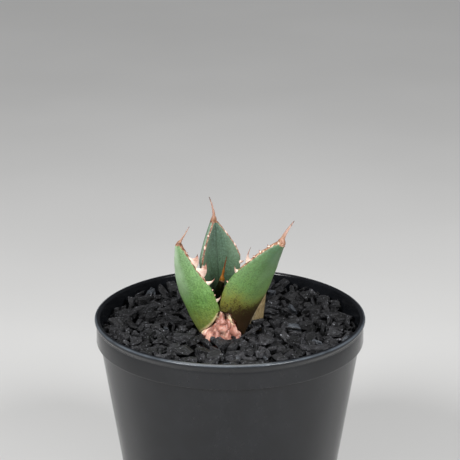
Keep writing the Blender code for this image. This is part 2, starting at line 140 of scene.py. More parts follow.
class Nodes:
    """Adds nodes to a tree. What is given to a node is a socket, or else a number or a triple."""

    def __init__(self, tree):
        self.tree = tree

    def give(self, value, socket):
        if isinstance(value, bpy.types.NodeSocket):
            self.tree.links.new(value, socket)
        elif socket.type == "RGBA":
            socket.default_value = (*value, 1)
        else:
            socket.default_value = value

    def node(self, kind, **inputs):
        node = self.tree.nodes.new(f"ShaderNode{kind}")
        for name, value in inputs.items():
            self.give(value, node.inputs[name.replace("_", " ")])
        return node

    def noise(self, place, scale, detail=3.0, roughness=0.55):
        node = self.node("TexNoise", Vector=place, Scale=scale, Detail=detail, Roughness=roughness)
        return node.outputs["Fac"]

    def ease(self, value, low, high, to_low=0.0, to_high=1.0):
        """Maps low..high smoothly to to_low..to_high."""
        node = self.node("MapRange", Value=value, From_Min=low, From_Max=high, To_Min=to_low, To_Max=to_high)
        node.interpolation_type = "SMOOTHSTEP"
        return node.outputs["Result"]

    def math(self, operation, first, second):
        node = self.node("Math")
        node.operation = operation
        self.give(first, node.inputs[0])
        self.give(second, node.inputs[1])
        return node.outputs["Value"]

    def plus(self, first, second):
        return self.math("ADD", first, second)

    def times(self, first, second):
        return self.math("MULTIPLY", first, second)

    def mix(self, share, first, second):
        node = self.node("Mix")
        node.data_type = "RGBA"
        for value, socket in zip((first, second), [s for s in node.inputs if s.type == "RGBA"]):
            self.give(value, socket)
        self.give(share, node.inputs[0])
        return next(s for s in node.outputs if s.type == "RGBA")

    def ramp(self, value, *stops):
        """A colour ramp: each stop is (place, colour)."""
        node = self.node("ValToRGB", Fac=value)
        elements = node.color_ramp.elements
        while len(elements) < len(stops):
            elements.new(0.5)
        for element, (place, colour) in zip(elements, stops):
            element.position = place
            element.color = (*colour, 1)
        return node.outputs["Color"]


class Look(Nodes):
    """A Principled material in the making. Its places are in millimetres."""

    def __init__(self, name, colour, **sockets):
        self.made = bpy.data.materials.new(name)
        self.made.use_nodes = True
        super().__init__(self.made.node_tree)
        self.shader = self.tree.nodes["Principled BSDF"]
        self.set(Base_Color=colour, **sockets)

    def set(self, **sockets):
        for name, value in sockets.items():
            self.give(value, self.shader.inputs[name.replace("_", " ")])

    def read(self, name, output="Fac"):
        """A value stored on the mesh."""
        node = self.node("Attribute")
        node.attribute_name = name
        return node.outputs[output]

    def place(self, stretch=(1, 1, 1), source=None):
        """Coordinates in the object, or those in source, stretched."""
        if source is None:
            source = self.node("TexCoord").outputs["Object"]
        return self.node("Mapping", Vector=source, Scale=[s / MM for s in stretch]).outputs["Vector"]

    def bump(self, height, distance, strength=1.0):
        """Adds a bump of this depth, in metres, to whatever normal the shader has."""
        node = self.node("Bump", Strength=strength, Distance=distance, Height=height)
        normal = self.shader.inputs["Normal"]
        if normal.is_linked:
            self.give(normal.links[0].from_socket, node.inputs["Normal"])
        self.give(node.outputs["Normal"], normal)


PAINTED_LIP_HIGHLIGHT = (0.092, 0.106, 0.122)
PLASTIC_DUST = (0.026, 0.026, 0.026)


def plastic_material(settings):
    black = tuple(settings.colour)
    look = Look("moulded_black_plastic", black, Roughness=0.3, Specular_IOR_Level=0.33)
    place = look.place()
    haze = look.noise(place, 0.12, 4)
    dust = look.ease(look.noise(place, 0.55, 5, 0.7), 0.52, 0.75)
    streaks = look.noise(look.place((1, 1, 0.06)), 0.9, 3)
    colour = look.mix(look.ease(haze, 0.3, 0.8, 0.0, 0.5), black, scaled(black, 1.9))
    colour = look.mix(look.times(dust, 0.22), colour, PLASTIC_DUST)
    # Painted highlight: the paler bluish grey along the lip stands in for the lamps' reflection on the rim's
    # top.
    lip = look.times(look.read("lip"), look.ease(haze, 0.25, 0.65, 0.45, 1.0))
    colour = look.mix(lip, colour, PAINTED_LIP_HIGHLIGHT)
    rough = look.plus(look.ease(haze, 0.3, 0.7, 0.13, 0.20), look.times(dust, 0.12))
    look.set(Base_Color=colour, Roughness=rough)
    look.bump(look.noise(place, 2.2, 3), 0.02 * MM, 0.5)
    look.bump(streaks, 0.03 * MM, 0.35)
    return look.made


def soil_material():
    look = Look("potting_mix", (0.05, 0.03, 0.02), Roughness=0.95)
    place = look.place()
    crumbs = look.node("TexVoronoi", Vector=place, Scale=0.7).outputs["Distance"]
    shades = ((0.25, (0.012, 0.008, 0.006)), (0.55, (0.055, 0.034, 0.021)), (0.8, (0.13, 0.085, 0.05)))
    look.set(Base_Color=look.ramp(look.noise(place, 0.8, 5, 0.7), *shades))
    look.bump(crumbs, 0.6 * MM)
    look.bump(look.noise(place, 3.0, 4), 0.2 * MM)
    return look.made


def root_material():
    look = Look("root_bark", (0.5, 0.36, 0.22), Roughness=0.75)
    place = look.place()
    rings = look.noise(look.place((0.4, 0.4, 3.0)), 1.2, 4)
    shades = ((0.3, (0.24, 0.13, 0.07)), (0.6, (0.55, 0.38, 0.22)), (0.8, (0.72, 0.58, 0.4)))
    look.set(Base_Color=look.ramp(rings, *shades))
    look.bump(look.noise(place, 2.5, 4), 0.15 * MM)
    return look.made


PAINTED_BLUISH_SHEEN = (0.085, 0.098, 0.115)
PAINTED_GLINT = (0.30, 0.31, 0.34)


def charcoal_material(settings):
    """Chips read their own tone, worn edges, depth in the pile and grain from the mesh. Painted light: depth
    darkens the gaps as painted shade, the dips of the rugged bump get painted shade, and some faces get a
    painted bluish sheen and painted glints.
    """
    dark, light = tuple(settings.dark), tuple(settings.light)
    look = Look("charcoal", (0.02, 0.02, 0.02), Roughness=0.7, Specular_IOR_Level=0.32)
    tone = look.read("tone")
    own_place = look.read("grain", "Vector")
    own = look.place(source=own_place)
    rugged = look.noise(own, 0.75, 3, 0.6)
    grain = look.noise(look.place((0.22, 2.2, 2.2), own_place), 1.0, 3)
    speck = look.noise(own, 1.9, 4, 0.7)
    colour = look.mix(look.ease(tone, 0.0, 1.0, 0.0, 0.9), dark, light)
    # Painted reflection: chips of the highest tone get a paler bluish sheen.
    colour = look.mix(look.ease(tone, 0.955, 0.965, 0.0, 0.8), colour, PAINTED_BLUISH_SHEEN)
    colour = look.mix(look.ease(speck, 0.35, 0.75, 0.0, 0.7), colour, scaled(dark, 0.5))
    colour = look.mix(look.times(look.read("worn"), 0.25), colour, scaled(light, 1.2))
    colour = look.mix(look.ease(grain, 0.5, 0.8, 0.0, 0.5), colour, scaled(light, 0.35))
    # Painted shade: darker where the rugged bump dips.
    colour = look.mix(look.ease(rugged, 0.50, 0.36, 0.0, 0.75), colour, scaled(dark, 0.5))
    # Painted shade: the deeper a point lies in the gaps between chips, the darker it is painted.
    colour = look.mix(look.times(look.read("depth"), 0.93), colour, scaled(dark, 0.4))
    # Painted highlight: rare tiny specks painted pale as glints.
    colour = look.mix(look.ease(look.noise(own, 1.5, 2), 0.66, 0.70, 0.0, 0.8), colour, PAINTED_GLINT)
    rough = look.math("SUBTRACT", look.ease(speck, 0.3, 0.7, 0.46, 0.72), look.times(tone, 0.16))
    look.set(Base_Color=colour, Roughness=rough)
    look.bump(rugged, 0.9 * MM)
    look.bump(grain, 0.35 * MM)
    look.bump(speck, 0.30 * MM)
    return look.made


# Spine colours from the blade to the tip
TAN_SPINE = ((0.22, 0.10, 0.045), (0.38, 0.21, 0.15), (0.42, 0.27, 0.22), (0.12, 0.06, 0.045))
ORANGE_SPINE = ((0.50, 0.20, 0.025), (0.32, 0.11, 0.015), (0.14, 0.05, 0.02), (0.05, 0.02, 0.015))
TOOTH_COLOURS = (
    (0.10, (0.78, 0.66, 0.52)),
    (0.42, (0.74, 0.56, 0.47)),
    (0.72, (0.46, 0.24, 0.18)),
    (0.95, (0.13, 0.055, 0.04)),
)
CORK = ((0.60, (0.42, 0.24, 0.15)), (0.70, (0.72, 0.58, 0.48)))
STAIN_DOTS = (0.024, 0.009, 0.003)
TORN_SKIN = (0.80, 0.62, 0.36)


def horn_colour(look, colour, place, spine_colours, cork):
    """Colour of the horny rim, patched with cork, and of the spine and the teeth."""
    patches = look.noise(place, 0.8, 4, 0.65)
    corky = look.ease(look.read("across"), -0.5, 0.5, -cork, cork)
    brown = ((0.36, scaled(colour, 0.22)), (0.50, scaled(colour, 0.70)))
    rim = look.ramp(look.plus(patches, corky), *brown, *CORK)
    point = look.read("point")
    streaks = look.noise(look.place((1, 1, 0.2)), 1.6, 3)
    shifted = look.plus(point, look.ease(streaks, 0.35, 0.65, -0.12, 0.12))
    spine = look.ramp(shifted, *zip((0.0, 0.35, 0.75, 1.0), spine_colours))
    tooth = look.read("tooth")
    horn = look.ramp(look.plus(tooth, look.ease(patches, 0.35, 0.65, -0.12, 0.12)), *TOOTH_COLOURS)
    colours = look.mix(look.ease(point, 0.0, 0.12), rim, spine)
    return look.mix(look.ease(tooth, 0.0, 0.12), colours, horn)


class Skin(NamedTuple):
    """The look of one leaf.

    stops are where low, middle and top lie along the blade. The brown of the base fades out between the
    two places in stain, and slope tilts it across the blade: on the right leaf that is partly painted shade
    on the side that turns away from the light. bloom_side is the side that the bloom lies on, or 0 for both
    margins; kept to one side, the bloom is partly painted light on that margin. midline darkens the midrib,
    cork turns the rim on side 1 creamier and the other browner, and scar shows the pale edge torn when the
    leaf came off its mother plant.
    """

    low: tuple
    middle: tuple
    top: tuple
    bloom: float
    bloom_side: int = 0
    stops: tuple = (0.14, 0.44, 0.88)
    stain: tuple = (0.05, 0.27)
    slope: float = 0.0
    midline: float = 0.0
    spine: tuple = TAN_SPINE
    shine: float = 0.5
    cork: float = 0.0
    scar: float = 0.0


# The young leaf's blade is painted near black: painted shade, as it sits deep between the older leaves. Its
# orange spine is its own colour.
YOUNG_SKIN_IN_PAINTED_SHADE = Skin(
    (0.005, 0.006, 0.002),
    (0.008, 0.011, 0.003),
    (0.02, 0.018, 0.004),
    bloom=0.0,
    spine=ORANGE_SPINE,
    shine=0.2,
)
# The back leaf's base is painted very dark green: painted shade cast by the leaves in front of it.
BACK_SKIN = Skin(
    (0.010, 0.028, 0.006),
    (0.048, 0.102, 0.042),
    (0.066, 0.114, 0.082),
    bloom=0.22,
    midline=0.6,
    cork=0.05,
)
# The stain tilts towards the right margin: real brown staining, and partly painted shade on the side that
# turns away from the light.
RIGHT_SKIN = Skin(
    (0.30, 0.26, 0.034),
    (0.14, 0.26, 0.070),
    (0.044, 0.100, 0.046),
    bloom=0.14,
    bloom_side=-1,
    stops=(0.34, 0.56, 0.92),
    stain=(0.16, 0.62),
    slope=0.06,
    cork=0.04,
)


def wax_share(look, skin, along, across, cloud):
    """How much of the bloom shows. Kept to one side, it is partly painted light on that margin."""
    if skin.bloom_side:
        edges = look.ease(look.times(across, skin.bloom_side), -0.42, 0.15)
    else:
        edges = look.ease(look.math("ABSOLUTE", across, 0.0), 0.30, 1.0)
    wax = look.times(look.plus(edges, 0.08), look.ease(cloud, 0.32, 0.6, 0.60, 1.0))
    return look.times(wax, look.ease(along, 0.34, 0.82, 0.0, skin.bloom))


def blade_material(name, skin, bloom, rim_colour):
    """A fleshy leaf's skin, from its base to its spine."""
    low, middle, top = (tuple(c) for c in skin[:3])
    look = Look(name, middle, Specular_IOR_Level=skin.shine, Subsurface_Weight=0.06, Subsurface_Scale=1.0)
    look.set(Subsurface_Radius=(0.6 * MM, 1.2 * MM, 0.3 * MM))
    place = look.place()
    along, across = look.read("along"), look.read("across")
    fibres = look.noise(look.place(source=look.read("fibre", "Vector")), 1.3, 4)
    speckle = look.noise(place, 1.5, 3, 0.75)
    cloud = look.noise(place, 0.16, 3)
    shifted = look.plus(along, look.times(look.math("SUBTRACT", cloud, 0.5), 0.25))
    colour = look.ramp(shifted, *zip(skin.stops, (low, middle, top)))
    # The darker specks are the skin's own mottling; the lighter ones are painted highlight on its grain.
    colour = look.mix(look.ease(speckle, 0.38, 0.54, 0.66, 0.0), colour, scaled(middle, 0.36))
    colour = look.mix(look.ease(speckle, 0.53, 0.66, 0.0, 0.34), colour, scaled(top, 2.5))
    colour = look.mix(look.ease(fibres, 0.35, 0.75, 0.0, 0.35), colour, scaled(top, 1.35))
    reach = look.ease(look.plus(shifted, look.times(across, skin.slope)), *skin.stain, 0.54, 0.0)
    dots = look.plus(look.noise(place, 1.5, 4, 0.75), reach)
    colour = look.mix(look.ease(dots, 0.64, 0.92, 0.0, 0.97), colour, STAIN_DOTS)
    if skin.midline:
        line = look.ease(look.math("ABSOLUTE", across, 0.0), 0.01, 0.06, skin.midline, 0.0)
        colour = look.mix(line, colour, scaled(middle, 0.35))
    colour = look.mix(wax_share(look, skin, along, across, cloud), colour, tuple(bloom))
    ragged = look.ease(look.noise(place, 1.4, 3), 0.3, 0.7, -0.3, 0.3)
    horny = look.ease(look.plus(look.read("horn"), ragged), 0.45, 0.6)
    colour = look.mix(horny, colour, horn_colour(look, rim_colour, place, skin.spine, skin.cork))
    if skin.scar:
        edge = look.times(look.read("torn"), look.ease(dots, 0.35, 0.75, 1.0, skin.scar))
        colour = look.mix(edge, colour, TORN_SKIN)
    look.set(Base_Color=colour, Roughness=look.ease(speckle, 0.3, 0.7, 0.42, 0.58))
    look.bump(fibres, 0.10 * MM, 0.5)
    look.bump(speckle, 0.06 * MM, 0.6)
    return look.made


def dry_material():
    look = Look("dry_leaf_fibre", (0.35, 0.27, 0.15), Roughness=0.85)
    fibres = look.noise(look.place(source=look.read("fibre", "Vector")), 2.2, 4)
    shades = ((0.3, (0.10, 0.065, 0.026)), (0.5, (0.21, 0.155, 0.070)), (0.72, (0.32, 0.25, 0.14)))
    margin = look.ease(look.read("across"), 0.55, 0.85)
    colour = look.mix(margin, look.ramp(fibres, *shades), (0.26, 0.21, 0.13))
    mould = look.ease(look.noise(look.place(), 0.5), 0.5, 0.7, 0.0, 0.5)
    look.set(Base_Color=look.mix(mould, colour, (0.08, 0.055, 0.025)))
    look.bump(fibres, 0.15 * MM)
    return look.made


def callus_material(colour):
    look = Look("stem_callus", colour, Roughness=0.42, Subsurface_Weight=0.2, Subsurface_Scale=1.0)
    look.set(Subsurface_Radius=(1.2 * MM, 0.5 * MM, 0.3 * MM))
    place = look.place()
    patches = look.noise(place, 0.30, 4, 0.6)
    # The ramp paints the lumps: dark in the creases between them, which is painted shade, and pale on their
    # crowns and flanks, which is painted highlight and painted light.
    seams = ((0.08, (0.11, 0.025, 0.015)), (0.34, scaled(colour, 0.50)))
    swells = ((0.70, scaled(colour, 0.74)), (0.98, (0.80, 0.47, 0.38)))
    skin = look.ramp(look.read("ridge"), *seams, *swells)
    skin = look.mix(look.ease(patches, 0.50, 0.70, 0.0, 0.55), skin, (0.70, 0.45, 0.34))
    skin = look.mix(look.ease(look.noise(place, 0.7, 3), 0.58, 0.75, 0.0, 0.5), skin, (0.50, 0.17, 0.10))
    skin = look.mix(look.read("scar"), skin, (0.84, 0.70, 0.46))
    # Near black in the pit and the hollow on top: rot in the pit, painted shade in the hollow.
    skin = look.mix(look.read("wound"), skin, (0.030, 0.012, 0.006))
    look.set(Base_Color=skin, Roughness=look.ease(patches, 0.3, 0.7, 0.30, 0.50))
    look.bump(look.noise(place, 1.5, 4), 0.12 * MM, 0.6)
    return look.made


def floor_material():
    """Pale, and paler far away, so that the floor's end is hard to see."""
    look = Look("studio_floor", (0.5, 0.49, 0.48), Roughness=0.7)
    place = look.place((MM, MM, MM))
    clouds = look.ease(look.noise(place, 3.0), 0.3, 0.7)
    colour = look.mix(clouds, (0.60, 0.597, 0.588), (0.64, 0.637, 0.628))
    away = look.node("VectorMath")
    away.operation = "LENGTH"
    look.give(place, away.inputs[0])
    look.set(Base_Color=look.mix(look.ease(away.outputs["Value"], 0.7, 2.4), colour, (0.92, 0.915, 0.905)))
    return look.made


# Meshes


def add_object(name, mesh, *materials):
    obj = bpy.data.objects.new(name, mesh)
    for made in materials:
        mesh.materials.append(made)
    bpy.context.scene.collection.objects.link(obj)
    return obj


def keep_piece(piece, slot, *nodes):
    """Puts a finished piece under the root body and hides these solids, so that it shows in their place."""
    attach(piece, "root")
    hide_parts(*nodes)


def mesh_from(name, points, faces):
    mesh = bpy.data.meshes.new(name)
    mesh.from_pydata([tuple(p) for p in points], [], [tuple(int(i) for i in f) for f in faces])
    mesh.update()
    mesh.shade_smooth()
    return mesh


def set_values(mesh, **values):
    """Stores values, or vectors, for the vertices: one for each, or else one number for all."""
    for name, given in values.items():
        stored = np.asarray(given, np.float32)
        if stored.ndim == 0:
            stored = np.full(len(mesh.vertices), stored)
        kind, field = ("FLOAT_VECTOR", "vector") if stored.ndim == 2 else ("FLOAT", "value")
        mesh.attributes.new(name, kind, "POINT").data.foreach_set(field, stored.ravel())


def ring_faces(rings, count):
    """Quads between successive rings of count points, with an n-gon at each end."""
    faces = []
    for r in range(rings - 1):
        for k in range(count):
            after = (k + 1) % count
            faces.append((r * count + k, r * count + after, (r + 1) * count + after, (r + 1) * count + k))
    faces.append(tuple(range(count))[::-1])
    faces.append(tuple((rings - 1) * count + k for k in range(count)))
    return faces


def face_out(mesh):
    bm = bmesh.new()
    bm.from_mesh(mesh)
    bmesh.ops.recalc_face_normals(bm, faces=bm.faces)
    if bm.calc_volume(signed=True) < 0:
        bmesh.ops.reverse_faces(bm, faces=bm.faces)
    bm.to_mesh(mesh)
    bm.free()


def cut_away(obj, cutter):
    """Takes cutter out of obj for good, and removes cutter."""
    boolean = obj.modifiers.new("cut", "BOOLEAN")
    boolean.operation = "DIFFERENCE"
    boolean.object = cutter
    bpy.context.view_layer.update()
    cut = bpy.data.meshes.new_from_object(obj.evaluated_get(bpy.context.evaluated_depsgraph_get()))
    obj.modifiers.clear()
    obj.data = cut
    bpy.data.objects.remove(cutter)


def join_meshes(name, parts):
    """One mesh from several, keeping their attributes."""
    joined = bmesh.new()
    for mesh in parts:
        joined.from_mesh(mesh)
    mesh = bpy.data.meshes.new(name)
    joined.to_mesh(mesh)
    joined.free()
    return mesh


# Pot

AROUND_POT = 192
FOOT_RADIUS = 38 * MM
FOOT_RING = 4 * MM
COLLAR_DEPTH = 9 * MM
COLLAR_INSET = 0.6 * MM
BEAD = 1.1 * MM
FLOOR_LOW = 3 * MM
FLOOR_TOP = 4.6 * MM
SMALL_ROUND = 0.5 * MM
MIDDLE_HOLE = 5.3 * MM
DRAINS = 6
DRAIN_RADIUS = 4 * MM
DRAINS_OUT = 22 * MM
DRAIN_TURN = 0.37
WALL_STEPS = 10

# Points on the rim's outer slope, as shares of the bead's radius inwards and down from its corner
RIM_BEVEL = ((0.12, 0.47), (0.20, 0.40), (0.45, 0.27), (0.72, 0.13), (0.92, 0.025))


def inner_radius(settings, height):
    """Radius of the tapered inner wall at a height."""
    top = settings.rim_radius - 3.5 * MM
    foot = FOOT_RADIUS - settings.wall
    return foot + (top - foot) * min(height / (settings.height - COLLAR_DEPTH), 1)


def arc(across, up, radius, start, end, steps):
    """Points (radius, height) on an arc round the point (across, up), with angles in degrees."""
    turns = [math.radians(start + (end - start) * k / steps) for k in range(steps + 1)]
    return [(across + radius * math.cos(a), up + radius * math.sin(a)) for a in turns]


def outer_profile(settings):
    """The outside, from the foot up to the top of the rim."""
    high, rim = settings.height, settings.rim_radius
    collar_low = high - COLLAR_DEPTH
    outer = inner_radius(settings, collar_low) + settings.wall
    collar = rim - COLLAR_INSET
    profile = arc(FOOT_RADIUS - SMALL_ROUND, SMALL_ROUND, SMALL_ROUND, -90, -6, 5)
    across, up = profile[-1]
    wall_top = collar_low - 1.5 * MM
    for k in range(1, WALL_STEPS):
        profile.append((across + (outer - across) * k / WALL_STEPS, up + (wall_top - up) * k / WALL_STEPS))
    profile += arc(outer + SMALL_ROUND, wall_top, SMALL_ROUND, 180, 100, 4)
    profile += arc(collar - 0.6 * MM, collar_low - 0.4 * MM, 0.6 * MM, -80, 0, 5)
    profile += [(collar - 0.1 * MM, high - 4.5 * MM)]
    profile += arc(collar + 0.3 * MM, high - 3.2 * MM, 0.55 * MM, 200, 130, 4)
    profile += arc(rim - BEAD, high - BEAD, BEAD, -40, 20, 6)
    return profile + [(rim - BEAD * share, high - BEAD * fall) for share, fall in RIM_BEVEL]


def inner_profile(settings):
    """The inside, from the top of the rim down, along the floor, and back under it to the foot ring."""
    high, rim = settings.height, settings.rim_radius
    collar_low = high - COLLAR_DEPTH
    profile = arc(rim - BEAD, high - BEAD, BEAD, 92, 180, 9)
    profile += [(rim - 2 * BEAD - 0.15 * MM, high - 3.2 * MM)]
    profile += [(rim - 2 * BEAD - 0.2 * MM, collar_low + 1.8 * MM)]
    profile += arc(inner_radius(settings, collar_low) + SMALL_ROUND, collar_low, SMALL_ROUND, 110, 180, 4)
    profile += [(inner_radius(settings, high * share), high * share) for share in (0.75, 0.5, 0.25)]
    inside = inner_radius(settings, FLOOR_TOP)
    profile += arc(inside - 1.2 * MM, FLOOR_TOP + 1.2 * MM, 1.2 * MM, 0, -90, 6)
    profile += [(20 * MM, FLOOR_TOP), (MIDDLE_HOLE, FLOOR_TOP)]
    profile += arc(MIDDLE_HOLE, FLOOR_TOP - 0.3 * MM, 0.3 * MM, 90, 180, 3)
    profile += arc(MIDDLE_HOLE, FLOOR_LOW + 0.3 * MM, 0.3 * MM, 180, 270, 3)
    profile += [(20 * MM, FLOOR_LOW)]
    profile += arc(FOOT_RADIUS - FOOT_RING - 0.6 * MM, FLOOR_LOW - 0.6 * MM, 0.6 * MM, 90, 0, 4)
    return profile + arc(FOOT_RADIUS - FOOT_RING + SMALL_ROUND, SMALL_ROUND, SMALL_ROUND, 180, 270, 4)


def drain_cutters():
    cutters = bmesh.new()
    size = {"radius1": DRAIN_RADIUS, "radius2": DRAIN_RADIUS, "depth": 6 * MM, "segments": 40}
    for k in range(DRAINS):
        a = 2 * math.pi * (k + DRAIN_TURN) / DRAINS
        place = Matrix.Translation((DRAINS_OUT * math.cos(a), DRAINS_OUT * math.sin(a), 4 * MM))
        bmesh.ops.create_cone(cutters, cap_ends=True, matrix=place, **size)
    mesh = bpy.data.meshes.new("drain_cutters")
    cutters.to_mesh(mesh)
    cutters.free()
    return add_object("drain_cutters", mesh)


def build_pot(settings):
    profile = outer_profile(settings) + inner_profile(settings)
    count = len(profile)
    points, faces = [], []
    for k in range(AROUND_POT):
        a = 2 * math.pi * k / AROUND_POT
        points += [(r * math.cos(a), r * math.sin(a), z) for r, z in profile]
        after = (k + 1) % AROUND_POT
        for j in range(count):
            up = (j + 1) % count
            faces.append((k * count + j, after * count + j, after * count + up, k * count + up))
    pot = add_object("plastic_pot", mesh_from("plastic_pot", points, faces), plastic_material(settings))
    corner = (settings.rim_radius, settings.height)
    # Where the painted highlight lies: 1 at the rim's top corner, falling to 0 about a millimetre off.
    lip = [float(smooth_step(1.0, 0.35, math.dist(p, corner) / MM)) for p in profile]
    set_values(pot.data, lip=lip * AROUND_POT)
    face_out(pot.data)
    cut_away(pot, drain_cutters())
    pot.data.set_sharp_from_angle(angle=math.radians(50))
    keep_piece(pot, "black_plastic", "pot")


# Stem

# Radius, centre x, centre y and height of each ring of the stem, in millimetres
STEM_RINGS = (
    (4.4, -3.0, -3.4, 62.0),
    (6.6, -3.0, -3.4, 64.5),
    (7.4, -3.0, -3.6, 71.0),
    (8.2, -3.1, -4.6, 78.0),
    (8.2, -3.2, -5.8, 83.0),
    (7.2, -3.2, -6.3, 86.5),
    (5.9, -2.8, -6.9, 88.6),
    (4.5, -2.2, -7.6, 91.0),
    (3.2, -2.0, -8.1, 93.1),
    (2.2, -1.8, -8.6, 95.2),
)
STEM_GAP = 0.6
FRONT_CLEARANCE = 1.5
ALONG_STEM, AROUND_STEM = 150, 220
ALONG_CUTTER, AROUND_CUTTER = 16, 48

# Places on the callus, in millimetres: a rotted pit, the hollow on top with torn peaks beside it, and the
# line along which the mother plant tore off
PIT = Vector((-2.9, -13.2, 87.4))
HOLLOW = Vector((-1.3, -10.9, 94.7))
TORN_PEAKS = (Vector((-3.9, -10.0, 94.8)), Vector((0.3, -9.9, 95.0)))
SCAR = (
    (-10.6, -7.4, 86.0),
    (-8.8, -8.2, 88.8),
    (-6.8, -9.0, 91.2),
    (-5.2, -9.4, 93.2),
    (-3.4, -9.6, 94.8),
    (-0.4, -10.0, 94.6),
    (0.6, -10.4, 92.6),
    (1.2, -10.8, 91.0),
)


def stem_ring(height):
    """Radius and centre of the stem at a height in millimetres."""
    heights = [ring[3] for ring in STEM_RINGS]
    return [float(np.interp(height, heights, [ring[k] for ring in STEM_RINGS])) for k in range(3)]


def stem_points(rings, sides, grown=0.0, front=1.0):
    """The stem's folded surface as rings of points, in millimetres, grown and stretched forwards."""
    low, high = STEM_RINGS[0][3], STEM_RINGS[-1][3]
    points = []
    for r in range(rings):
        share = r / (rings - 1)
        height = low + (high - low) * share
        radius, x, y = stem_ring(height)
        end = grown * (share == 1) - grown * (share == 0)
        for k in range(sides):
            a = 2 * math.pi * k / sides
            fold = math.sin(5 * a + 0.35 * height) + 0.6 * math.sin(9 * a - 0.5 * height)
            out = radius + grown + 0.28 * fold * min(1, radius / 5)
            stretch = front if math.sin(a) < 0 else 1
            points.append((x + out * math.cos(a), y + stretch * out * math.sin(a), height + end))
    return points


def stem_room():
    """A cutter: the room that the leaves leave for the stem, wider in front, where old leaves came off."""
    points = stem_points(ALONG_CUTTER, AROUND_CUTTER, STEM_GAP, FRONT_CLEARANCE)
    mesh = mesh_from("stem_room", [Vector(p) * MM for p in points], ring_faces(ALONG_CUTTER, AROUND_CUTTER))
    face_out(mesh)
    return add_object("stem_room", mesh)


def lump(place, scale):
    """Rounded cells: 1 in the middle of each, falling to 0 at its seams."""
    near = noise.voronoi(place * scale)[0]
    return math.sqrt(1 - (1 - clamped((near[1] - near[0]) * 1.5)) ** 2)


def nearness(distance, radius):
    return math.exp(-((distance / radius) ** 2))


def distance_to_line(place, line):
    best = math.inf
    for start, end in zip(line, line[1:]):
        start, end = Vector(start), Vector(end)
        share = clamped((place - start).dot(end - start) / (end - start).length_squared)
        best = min(best, (place - start - (end - start) * share).length)
    return best


def callus_at(p):
    """Where a point lies once the callus has grown, how light it is painted, how dark with rot and painted
    shade, and how much scar it has.
    """
    radius, x, y = stem_ring(p.z)
    out = Vector((p.x - x, p.y - y, 0)).normalized()
    out = (out + UP * float(smooth_step(84, 94, p.z)) * 0.8).normalized()
    warped = p + Vector((noise.noise(p * 0.3), noise.noise(p * 0.3 + UP * 9), 0)) * 1.3
    upright = Vector((warped.x, warped.y, warped.z * 0.42))
    big = lump(upright, 0.30)
    small = lump(upright + Vector((7, 3, 1)), 0.62)
    rough = noise.noise(p * 1.1)
    pit, hollow = nearness((p - PIT).length, 1.1), nearness((p - HOLLOW).length, 1.35)
    peaks = sum(nearness((p - peak).length, 1.3) for peak in TORN_PEAKS)
    scar = nearness(distance_to_line(p, SCAR), 0.65) * clamped(0.75 + noise.noise(p * 0.8))
    lift = min(1.0, (radius + 0.6) / 4) * (1.3 * big + 0.16 * small + 0.10 * rough - 1.15) + 0.35 * scar
    outwards, upwards = lift - 1.3 * pit - 2.6 * hollow, 0.9 * peaks - 0.5 * hollow
    # Painted light: the stem's flanks, shaded by the leaves, are painted lighter through the ridge value.
    flank_light = float(smooth_step(3.0, 8.0, abs(p.x + 2.5)))
    # How light the callus is painted here: painted shade in the creases, painted highlight on the crowns.
    ridge = clamped(0.60 * big + 0.2 * small + 0.12 * rough + flank_light * (0.45 * big + 0.16))
    # wound: rot in the pit, painted shade in the hollow
    return (p + out * outwards + UP * upwards) * MM, ridge, min(1.0, 0.8 * pit + 1.4 * hollow), scar


def build_stem(settings):
    """A short stem with a knobbly callus in upright folds, rotted in front and hollow on top, with painted
    shade in the hollow and creases.
    """
    grown = [callus_at(Vector(p)) for p in stem_points(ALONG_STEM, AROUND_STEM)]
    points, ridges, wounds, scars = zip(*grown)
    mesh = mesh_from("callused_stem", points, ring_faces(ALONG_STEM, AROUND_STEM))
    face_out(mesh)
    set_values(mesh, ridge=ridges, wound=wounds, scar=scars)
    keep_piece(add_object("callused_stem", mesh, callus_material(settings.callus)), "stem_flesh", "stem")


# Leaves

ALONG_BLADE = 150
ALONG_SPINE = 30
ACROSS = 30
WALK_STEPS = 80
MARGIN_HALF = 0.4
RIM_WIDTH = 0.36
HORN_ENDING = 1.1
FIBRE_ACROSS, FIBRE_ALONG = 1.6 * MM, 4 * MM
TOOTH_RINGS, TOOTH_SIDES = 20, 16
LEAF_SHARP_ANGLE = math.radians(60)


class Tooth(NamedTuple):
    """A tooth on the margin: side is -1 or 1, place runs 0 to 1 up the blade, the rest is in millimetres."""

    side: int
    place: float
    foot: float
    reach: float
    lean: float


class Leaf(NamedTuple):
    """One leaf, in millimetres.

    The midrib runs from base through belly to apex, and the spine from apex, drawn towards bend, to tip.
    The upper face looks along face. The horny rim starts at rim_from, as a share of the blade. roll is how
    far the margin on side -1 rolls in, in radians. That margin's horn then shows on the upper face only.
    """

    piece: str
    node: str
    base: tuple
    belly: tuple
    apex: tuple
    bend: tuple
    tip: tuple
    face: tuple
    half_base: float
    half_width: float
    widest: float
    taper: float
    half_apex: float
    thickness: float
    curl: float
    rim_from: float
    teeth: tuple
    roll: float = 0.0


